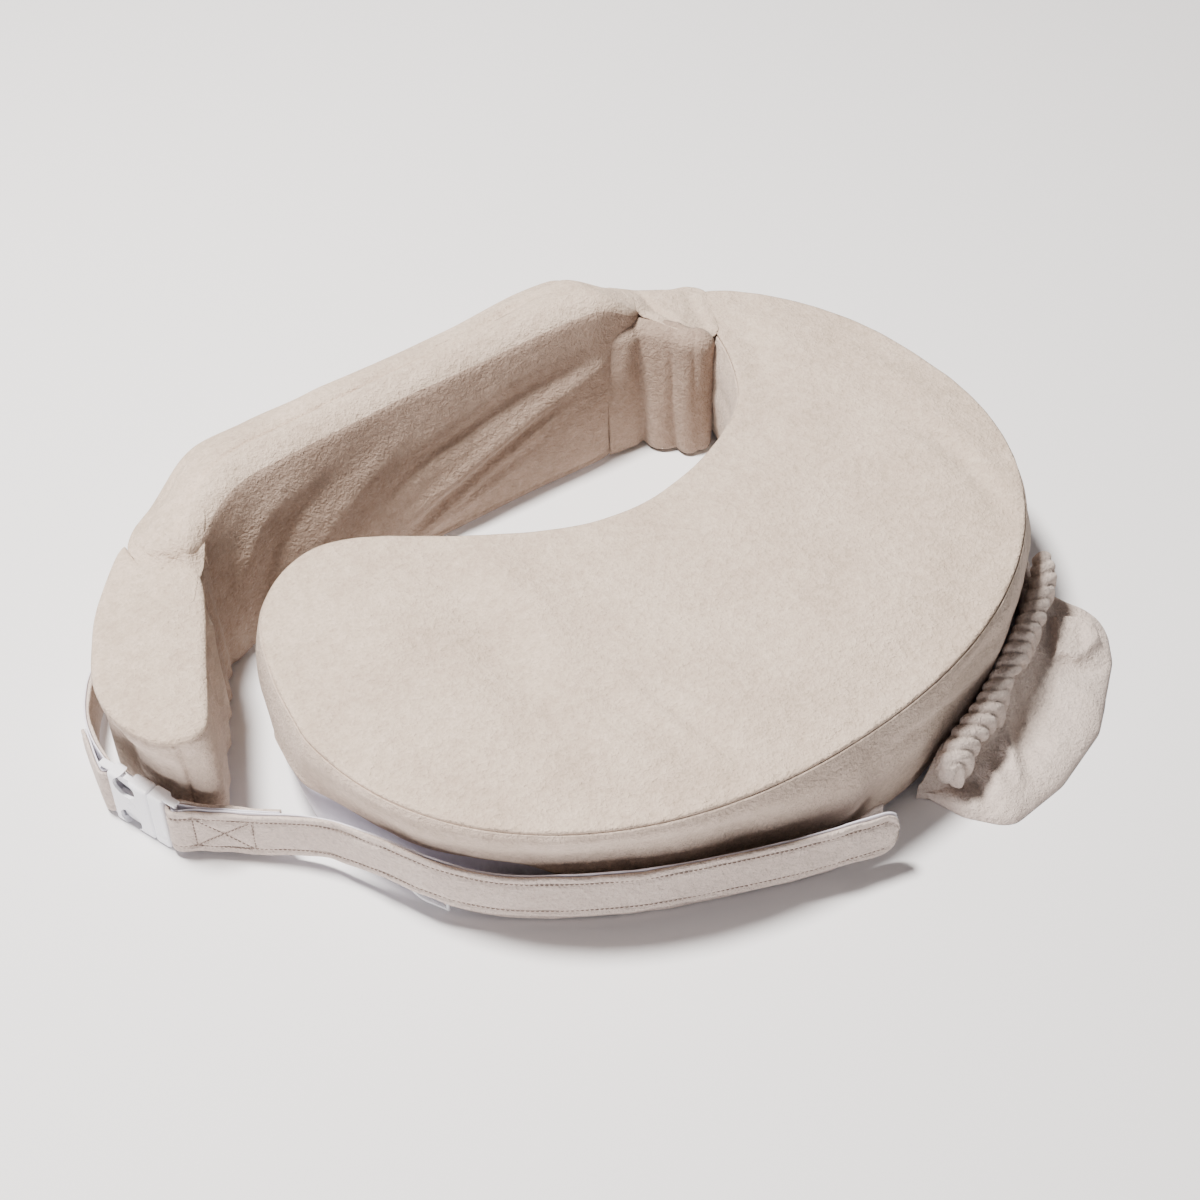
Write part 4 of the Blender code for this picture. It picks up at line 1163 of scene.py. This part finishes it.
def build_gusset():
    """The pinched fabric between platform and backrest: a soft core, its lumpy top, and pleats."""
    hollow = arc(HINGE, HINGE_RADIUS + 0.0012, -84.0, 8.0, 24)
    wall_side = [(0.1925, 0.2085), (0.185, 0.188), (0.18, 0.1735), (0.1725, 0.152)]
    waist_side = [(0.16, 0.15), (0.149, 0.161), (0.139, 0.1765)]
    plan = np.array([*hollow.tolist(), *wall_side, *waist_side])[::-1]
    plan = softened(resampled(plan, 0.002, closed=True), 0.004)
    normal = outward(plan)
    rings = []
    for z in [0.0016, 0.004, *np.linspace(0.01, 0.098, 20)]:
        solid = raised(plan, z)
        push = 0.0006 * rough(solid, (0.014, 0.014, 0.05), 81) - 0.006
        rings.append(pushed(plan, normal, push, z))
    core = from_rings("gusset_core", rings, PLUSH_WALL)
    low = [
        (0.103, 0.1905), (0.112, 0.1885), (0.123, 0.1885), (0.132, 0.1845), (0.14, 0.174),
        (0.149, 0.16), (0.159, 0.15), (0.169, 0.149), (0.1745, 0.1525),
    ]
    high = [
        (0.106, 0.208), (0.114, 0.1985), (0.125, 0.1925), (0.135, 0.1915), (0.143, 0.182),
        (0.151, 0.166), (0.159, 0.154), (0.169, 0.151), (0.1755, 0.155),
    ]
    pleats = [
        (0.017, 0.0014, 0.006), (0.027, -0.0042, 0.0032), (0.04, 0.003, 0.006),
        (0.0535, -0.0044, 0.0034), (0.064, 0.0016, 0.0045), (0.072, -0.0024, 0.0026),
    ]
    # The gusset pleats take the darker plush: painted shade.
    skin = hanging_skin("gusset_pleats", low, high, (0.0035, 0.102), pleats, 85, PLUSH_PAINTED_SHADE, roll=0.012)
    rear = [
        (0.202, 0.208), (0.193, 0.2125), (0.18, 0.2165), (0.168, 0.2235), (0.157, 0.237),
        (0.144, 0.25),
    ]
    rear_pleats = [(0.02, -0.002, 0.004), (0.034, 0.0016, 0.005), (0.05, -0.0018, 0.004)]
    back = hanging_skin("gusset_back", rear, rear, (0.0035, 0.1), rear_pleats, 91, PLUSH_WALL, roll=0.01)
    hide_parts("hinge_gusset")
    rim = [
        (0.118, 0.25), (0.108, 0.236), (0.114, 0.22), (0.128, 0.213), (0.14, 0.203),
        (0.149, 0.188), (0.156, 0.172), (0.163, 0.161), (0.172, 0.156), (0.183, 0.156),
        (0.193, 0.172), (0.203, 0.19), (0.208, 0.208), (0.196, 0.215), (0.18, 0.216),
        (0.164, 0.226), (0.148, 0.246), (0.133, 0.253),
    ]
    under = [bpy.data.objects[name] for name in ("backrest_cover", "platform_cover_top", "gusset_pleats")]
    top = bridge_cover("gusset_top", rim, under, GUSSET_FOLDS, 0.004, 83)
    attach(core, "platform")
    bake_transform(top)
    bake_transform(skin)
    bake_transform(back)


CREASE_FOLDS = [
    ([(-0.279, 0.246), (-0.273, 0.215), (-0.27, 0.178)], -0.004, 0.004, 0.6),
    ([(-0.279, 0.246), (-0.262, 0.225), (-0.252, 0.2)], -0.003, 0.0045, -0.5),
    ([(-0.282, 0.238), (-0.284, 0.21), (-0.28, 0.18)], -0.0022, 0.005, 0.0),
    ([(-0.27, 0.25), (-0.25, 0.24), (-0.236, 0.225)], 0.0014, 0.006, 0.0),
]


def build_crease_pleat():
    """The loose folds between the long segment and the end segment: down the waist side, and on top."""
    low = [
        (-0.279, 0.148), (-0.273, 0.159), (-0.267, 0.17), (-0.261, 0.179),
        (-0.253, 0.185), (-0.242, 0.189), (-0.23, 0.1935),
    ]
    high = [
        (-0.2805, 0.149), (-0.2745, 0.161), (-0.2675, 0.174), (-0.26, 0.186),
        (-0.251, 0.197), (-0.24, 0.207), (-0.228, 0.216),
    ]
    pleats = [
        (0.014, 0.0036, 0.0045), (0.024, -0.003, 0.003), (0.034, 0.0034, 0.0045), (0.044, -0.002, 0.003),
    ]
    # The crease pleats take the darker plush: painted shade.
    skin = hanging_skin("crease_pleat", low, high, (0.0035, 0.102), pleats, 87, PLUSH_PAINTED_SHADE, roll=0.009)
    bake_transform(skin)
    rim = [
        (-0.242, 0.256), (-0.26, 0.254), (-0.279, 0.245), (-0.292, 0.23), (-0.294, 0.205),
        (-0.293, 0.18), (-0.289, 0.156), (-0.282, 0.156), (-0.27, 0.172), (-0.259, 0.1845),
        (-0.2475, 0.1975), (-0.237, 0.212), (-0.229, 0.229), (-0.233, 0.246),
    ]
    under = [bpy.data.objects[name] for name in ("backrest_cover", "end_cover_top", "crease_pleat")]
    cover = bridge_cover("crease_cover", rim, under, CREASE_FOLDS, 0.0015, 89)
    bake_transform(cover)


build_gusset()
build_crease_pleat()


# ---- straps


def folded_path(route, bar, inner_length, radius, rest_offset, closing=0.016, steps=20):
    """A strap's path: from its sewn inner end, round the bar, and along the route."""
    lengths = lengths_along(route)
    spread = rest_offset + (radius - rest_offset) * (1.0 - smooth_step(lengths / closing))
    outer_leg = moved_out(route, spread, closed=False)
    keep = lengths <= inner_length
    inner_leg = moved_out(route, -spread, closed=False)[keep]
    start = route[1] - route[0]
    heading = math.degrees(math.atan2(start[1], start[0]))
    half_turn = arc(bar, radius, heading + 90.0, heading + 270.0, steps)
    return np.concatenate([inner_leg[:0:-1], half_turn, outer_leg[1:]])


def strap_foot(path):
    """Height of the long strap's lower edge, which rides up over the ring."""
    lift = (STRAP_LIFT + 0.0025) * smooth_step((0.04 - path[:, 1]) / 0.07)
    over_ring = np.linalg.norm(path - np.array([-0.262, -0.064]), axis=1)
    return STRAP_FOOT + 0.001 + lift + 0.0085 * bell(over_ring, 0.045)


def strap_skin(
    name, path, inner, outer, low, high, material, grooves=(), seed=90, tail=0.0, soft=0.0007, pressed=None
):
    """A strap on its edge with rounded edges: `inner` and `outer` are its faces' distances from the
    path. Grooves are sewn lines (distance from the edges, depth) on the outer face."""
    normal = outward(path, closed=False)
    run = lengths_along(path)
    from_tail = run[-1] - run
    pinch = np.zeros(len(path))
    if tail > 0.0:
        part = np.clip((tail - from_tail) / tail, 0.0, 1.0)
        pinch = tail * (1.0 - np.sqrt(np.clip(1.0 - part**2, 0.0, 1.0)))
    low = np.broadcast_to(low, len(path)) + pinch
    high = np.broadcast_to(high, len(path)) - pinch
    half, middle = (outer - inner) / 2, (outer + inner) / 2
    sections = []
    faces_z = np.linspace(0.0, 1.0, 27)
    for i in range(len(path)):
        width = high[i] - low[i]
        bead = min(half, width / 3)
        section = []
        for share in faces_z:
            z = low[i] + bead + (width - 2 * bead) * share
            out = outer + 0.0006 * math.sin(math.pi * share)
            for inset, depth in grooves:
                gap = min(z - low[i], high[i] - z) - inset
                out += depth * bell(gap, 0.0012)
            if pressed is not None:
                out += pressed(run[i], z)
            section.append((out, z))
        for a in np.radians((30, 60, 90, 120, 150)):
            section.append((middle + half * math.cos(a), high[i] - bead + bead * math.sin(a)))
        for share in faces_z[::-3]:
            section.append((inner, low[i] + bead + (width - 2 * bead) * share))
        for a in np.radians((210, 240, 270, 300, 330)):
            section.append((middle + half * math.cos(a), low[i] + bead + bead * math.sin(a)))
        section = np.array(section)
        solid = np.column_stack([np.repeat(path[i][None], len(section), 0), section[:, 1]])
        outside = section[:, 0] > middle
        section[:, 0] += outside * soft * rough(solid, (0.018, 0.018, 0.014), seed)
        section[:, 1] += 0.0006 * rough(solid * [1, 1, 0], 0.012, seed + 1)
        section[:, 1] += 0.0012 * rough(solid * [1, 1, 0], 0.045, seed + 2)
        sections.append(np.column_stack([path[i] + normal[i] * section[:, :1], section[:, 1]]))
    return from_rings(name, sections, material)


def strap_layers():
    """Radius round the bar and distance from the route, of the lining and of the plush."""
    lining_bar = BAR_RADIUS + 0.0005 + STRAP_LINING / 2
    plush_bar = lining_bar + STRAP_LINING / 2 + 0.0003 + STRAP_PLUSH / 2
    lining_rest = STRAP_LINING / 2 + 0.00015
    plush_rest = STRAP_LINING + 0.00045 + STRAP_PLUSH / 2
    return (lining_bar, lining_rest), (plush_bar, plush_rest)


def fine_route(points):
    return softened(resampled(curve_through(points, 16), 0.002), 0.01, closed=False)


def level_stitches(name, path, away, heights, chosen, material):
    """A row of stitches along part of a strap's outer face."""
    normal = outward(path, closed=False)
    line = path + normal * away
    line = np.column_stack([line, heights])[chosen]
    face = np.column_stack([normal, np.zeros(len(path))])[chosen]
    return stitch_row(name, line, face, material)


def box_stitches(name, path, away, start, stop, low, high, material):
    """A sewn box with a cross, on a strap's outer face between two distances along it."""
    normal = outward(path, closed=False)
    run = lengths_along(path)

    def spot(along, z):
        place = np.array([np.interp(along, run, (path + normal * away)[:, k]) for k in (0, 1)])
        return np.array([*place, z])

    def facing(along):
        return np.array([*[np.interp(along, run, normal[:, k]) for k in (0, 1)], 0.0])

    corners = [(start, low), (stop, low), (stop, high), (start, high)]
    lines = [(0, 1), (1, 2), (2, 3), (3, 0), (0, 2), (1, 3)]
    pieces = []
    for index, (a, b) in enumerate(lines):
        steps = np.linspace(0.0, 1.0, 24)
        (ax, az), (bx, bz) = corners[a], corners[b]
        line = np.array([spot(ax + (bx - ax) * t, az + (bz - az) * t) for t in steps])
        face = np.array([facing(ax + (bx - ax) * t) for t in steps])
        pieces.append(stitch_row(f"{name}_{index}", line, face, material))
    return joined(name, pieces)


def joined(name, pieces):
    """One mesh of several."""
    bm = bmesh.new()
    for piece in pieces:
        bm.from_mesh(piece.data)
    mesh = bpy.data.meshes.new(name)
    bm.to_mesh(mesh)
    bm.free()
    for material in pieces[0].data.materials:
        mesh.materials.append(material)
    mesh.shade_smooth()
    for piece in pieces:
        bpy.data.objects.remove(piece)
    item = bpy.data.objects.new(name, mesh)
    bpy.context.scene.collection.objects.link(item)
    return item


def patch_pad(name, route, inner, outer, seed):
    """One half of the hook-and-loop fastening, between the strap's tail and the landing strap."""
    run = lengths_along(route)
    near_tail = (run > run[-1] - PATCH_START) & (run < run[-1] - PATCH_STOP)
    low = STRAP_FOOT + STRAP_LIFT + 0.004
    high = STRAP_FOOT + STRAP_WIDTH - 0.006
    return strap_skin(name, route[near_tail], inner, outer, low, high, PATCH, seed=seed, soft=0.0)


def build_long_strap():
    route = fine_route(STRAP_PATH)
    (lining_bar, lining_rest), (plush_bar, plush_rest) = strap_layers()
    path = folded_path(route, PLUG_BAR, STRAP_FOLDED_END, lining_bar, lining_rest)
    foot = strap_foot(path)
    top = foot + STRAP_WIDTH
    lining = strap_skin(
        "long_strap_lining", path, -0.0006, 0.0006, foot, top, LINING, seed=91, tail=0.012, soft=0.0
    )
    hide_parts("strap_lining")
    path = folded_path(route, PLUG_BAR, STRAP_FOLDED_END, plush_bar, plush_rest)
    foot = strap_foot(path)
    grooves = ((STITCH_INSET, -0.0014),)
    box_start = STRAP_FOLDED_END + 0.026
    box_stop = box_start + 0.04
    box_low, box_high = 0.011, 0.04

    def pressed(along, z):
        """The quilting of the sewn box and its cross."""
        across = (along - box_start) / (box_stop - box_start)
        depth = 0.0
        if -0.1 < across < 1.1 and box_low - 0.002 < z < box_high + 0.002:
            for line in (box_low + (box_high - box_low) * across, box_high - (box_high - box_low) * across):
                depth = min(depth, -0.0013 * bell(z - line, 0.0016))
            for line in (box_start, box_stop):
                depth = min(depth, -0.0013 * bell(along - line, 0.0016))
        return depth

    plush_skin = strap_skin(
        "long_strap_plush", path, -0.0009, 0.0019, foot, foot + STRAP_WIDTH,
        PLUSH_STRAP, grooves, 94, 0.013, 0.001, pressed,
    )
    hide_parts("strap_plush")
    run = lengths_along(path)
    outer_part = run > STRAP_FOLDED_END + 0.01
    low = foot + STITCH_INSET
    high = foot + STRAP_WIDTH - STITCH_INSET
    before_tail = outer_part & (run < run[-1] - 0.006)
    rows = [
        level_stitches("stitch_low", path, 0.0016, low, before_tail, THREAD),
        level_stitches("stitch_high", path, 0.0016, high, before_tail, THREAD),
        box_stitches("x", path, 0.0022, box_start, box_stop, box_low, box_high, THREAD),
    ]
    stitches = joined("long_strap_stitches", rows)
    patch = patch_pad("hook_pad", route, -0.0015, -0.0003, 97)
    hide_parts("hook_patch")
    dressed_in = ((lining, "lining"), (plush_skin, "plush"), (stitches, "plush"), (patch, "hook_and_loop"))
    for item, slot in dressed_in:
        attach(item, "long_strap")
    return route


def build_tab():
    route = fine_route(TAB_PATH)
    (lining_bar, lining_rest), (plush_bar, plush_rest) = strap_layers()
    top = STRAP_FOOT + STRAP_WIDTH
    path = folded_path(route, SOCKET_BAR, TAB_FOLDED_END, lining_bar, lining_rest, TAB_CLOSING)
    foot = STRAP_FOOT
    lining = strap_skin("tab_strap_lining", path, -0.0006, 0.0006, foot, top, LINING, seed=101, soft=0.0)
    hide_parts("tab_lining")
    path = folded_path(route, SOCKET_BAR, TAB_FOLDED_END, plush_bar, plush_rest, TAB_CLOSING)
    grooves = ((0.006, -0.0008),)
    skin = strap_skin("tab_strap_plush", path, -0.0009, 0.0015, STRAP_FOOT, top, PLUSH_STRAP, grooves, 103)
    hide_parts("tab_plush")
    for item, slot in ((lining, "lining"), (skin, "plush")):
        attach(item, "backrest_end")


def build_landing(route):
    run = lengths_along(route)
    to_wall = 0.015 * smooth_step((run - run[-1] + 0.045) / 0.045)
    offset = -(0.0009 + 0.0024 + 0.0012) - to_wall
    chosen = run > LANDING_START
    path = moved_out(route, offset, closed=False)[chosen]
    length = lengths_along(path)
    narrow = 1.0 - smooth_step((length - 0.01) / 0.035)
    low = 0.0012 + 0.0045 * narrow
    high = 0.046 - 0.0205 * narrow - 0.011 * smooth_step((length - length[-1] + 0.06) / 0.05)
    grooves = ((0.0045, -0.0006),)
    strap = strap_skin("landing_cover", path, -0.0012, 0.0013, low, high, PLUSH_STRAP, grooves, 107)
    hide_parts("landing_strap")
    pile = patch_pad("loop_pad", route, -0.003, -0.0018, 109)
    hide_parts("loop_patch")
    for item, slot in ((strap, "plush"), (pile, "hook_and_loop")):
        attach(item, "platform")


ROUTE = build_long_strap()
build_tab()
build_landing(ROUTE)


# ---- pocket


def pocket_line():
    """Plan line of the platform's wall behind the pocket, evenly spaced, and its outward directions."""
    count = len(OUTLINE)
    spots = [i for i in range(count) if OUTLINE[i, 0] > 0.052 and OUTLINE[i, 1] < -0.09 and not WAIST[i]]
    line = resampled(OUTLINE[spots], 0.002)
    return line, outward(line, closed=False)


BAND_LINE = [
    (0.244, -0.133, 0.052), (0.2337, -0.1435, 0.051), (0.2113, -0.1585, 0.048),
    (0.1652, -0.181, 0.047), (0.1186, -0.202, 0.047), (0.0845, -0.213, 0.045),
    (0.0669, -0.218, 0.042), (0.06, -0.2215, 0.036),
]


POUCH_FLAP = [
    (0.2381, -0.156), (0.264, -0.177), (0.252, -0.1974), (0.2341, -0.2004), (0.2218, -0.1992),
    (0.2088, -0.1852),
]


POUCH_FOLDS = [
    ([(0.138, -0.208), (0.1231, -0.2289), (0.1117, -0.2456)], 0.007, 0.006, 0.9),
    ([(0.152, -0.208), (0.148, -0.2289), (0.14, -0.25)], -0.003, 0.008, 0.0),
    ([(0.248, -0.176), (0.235, -0.19), (0.225, -0.196)], -0.002, 0.004, 0.0),
    ([(0.196, -0.2), (0.206, -0.22), (0.208, -0.238)], 0.003, 0.01, 0.0),
    ([(0.092, -0.222), (0.085, -0.24), (0.086, -0.256)], -0.0035, 0.006, 0.0),
    ([(0.108, -0.22), (0.101, -0.24), (0.098, -0.256)], 0.0025, 0.006, 0.0),
    ([(0.215, -0.2), (0.235, -0.208), (0.248, -0.204)], -0.003, 0.0045, 0.0),
]


def build_pocket():
    """The gathered mouth, and the pouch that lies splayed on the floor."""
    line, normal = pocket_line()
    run = lengths_along(line)
    length = run[-1]
    band_line = resampled(curve_through(BAND_LINE, 12), 0.0009)
    band_run = lengths_along(band_line)
    across_way = outward(band_line[:, :2], closed=False)
    if across_way[len(across_way) // 2] @ np.array([0.7, -0.7]) < 0.0:
        across_way = -across_way
    sections = []
    around = np.linspace(0.0, 2 * math.pi, GATHER_SIDES, endpoint=False)
    rise, reach = np.sin(around), np.cos(around)
    for i in range(len(band_line)):
        ends = smooth_step(band_run[i] / 0.016) * smooth_step((band_run[-1] - band_run[i]) / 0.016)
        spot = np.column_stack([np.full(GATHER_SIDES, band_run[i]), reach * 0.01, rise * 0.01])
        phase = band_run[i] / GATHER_PITCH - 0.8 * rise + 0.35 * reach + 0.34 * rough(spot, 0.034, 121)
        ruffle = np.abs(np.sin(math.pi * phase)) ** 0.5
        size = 0.0076 + (0.0038 + 0.0012 * rough(spot, 0.02, 123)) * ruffle * (0.45 + 0.55 * ends)
        size *= 1.0 + 0.16 * rough(spot, 0.045, 127)
        size *= 1.0 - 0.3 * smooth_step(-reach)
        lobes = 1.0 + 0.8 * math.sin(2.0 * math.pi * band_run[i] / 0.062 + 0.6)
        drop = smooth_step(-rise) * ends * lobes
        size += 0.0005 * rough(spot, 0.005, 125)
        place = band_line[i, :2] + across_way[i] * (size * (reach + 0.35 * drop))[:, None]
        sections.append(np.column_stack([place, band_line[i, 2] + size * rise * (1.12 + 0.95 * drop)]))
    band = from_rings("pocket_gather", sections, PLUSH_STRAP)
    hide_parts("pocket_elastic")

    rim = [
        (0.06, -0.214), (0.063, -0.2247), (0.0667, -0.2394), (0.0824, -0.2606), (0.0914, -0.266),
        (0.1394, -0.2634), (0.1947, -0.2471), (0.2521, -0.2075), (0.2692, -0.1873), (0.2737, -0.1744),
        (0.256, -0.1555), (0.247, -0.14),
    ]
    rim = softened(resampled(np.array(rim), 0.002), 0.007, closed=False)
    steps = np.linspace(0.0, 1.0, 150)
    rim_run = lengths_along(rim)
    rim = np.stack([np.interp(steps * rim_run[-1], rim_run, rim[:, k]) for k in (0, 1)], 1)
    inner = np.stack([np.interp(steps * length, run, (line + normal * 0.006)[:, k]) for k in (0, 1)], 1)
    rows_out = np.linspace(0.0, 1.0, 44)
    upper, lower = [], []
    edge_fade = smooth_step(steps / 0.1) * smooth_step((1.0 - steps) / 0.08)
    for v in rows_out:
        plan = inner + (rim - inner) * v
        solid = raised(plan, 0.0)
        puff = 0.0105 * (1.0 - max(0.0, (v - 0.55) / 0.45) ** 2.6) ** 0.6
        rise = 0.026 * (1.0 - smooth_step(v / 0.45))
        z = 0.001 + puff * (0.45 + 0.55 * edge_fade) + rise * (0.35 + 0.65 * edge_fade)
        z = z + 0.0026 * rough(solid, 0.03, 131) * math.sin(math.pi * v)
        z = z + 0.0007 * rough(solid, 0.01, 132) * math.sin(math.pi * v)
        gathers = np.abs(np.sin(np.pi * steps * 9.0 + 1.2 * v)) ** 0.7
        z = z + 0.006 * gathers * edge_fade * (1.0 - smooth_step(v / 0.45))
        z = z + all_folds(plan, POUCH_FOLDS)
        corner = np.array(POUCH_FLAP)
        within = inside_loop(plan, corner) * smooth_step(distance_to(plan, corner) / 0.005)
        z = z + 0.0085 * within
        upper.append(np.column_stack([plan, np.maximum(z, 0.0012)]))
        lower.append(raised(plan, 0.0005))
    sections = []
    for i in range(len(steps)):
        top_row = [ring[i] for ring in upper]
        bottom_row = [ring[i] for ring in lower[::-1]]
        sections.append(np.array(top_row + bottom_row))
    pouch = from_rings("pocket_bag", sections, PLUSH_STRAP)
    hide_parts("pocket_pouch")
    for item in (band, pouch):
        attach(item, "platform")


build_pocket()


# ---- plastic parts keep their CAD shapes and take a moulded finish


def finish_hard_parts():
    for material, names in (
        (BUCKLE_WHITE, ("buckle_female", "buckle_male", "prong_upper", "prong_lower")),
        (RING_WHITE, ("strap_ring",)),
        (ZIP_WHITE, ("zip_slider", "zip_pull")),
        (TAPE, ("zip_tape",)),
    ):
        for name in names:
            nodes[name].data.materials.clear()
            nodes[name].data.materials.append(material)


finish_hard_parts()
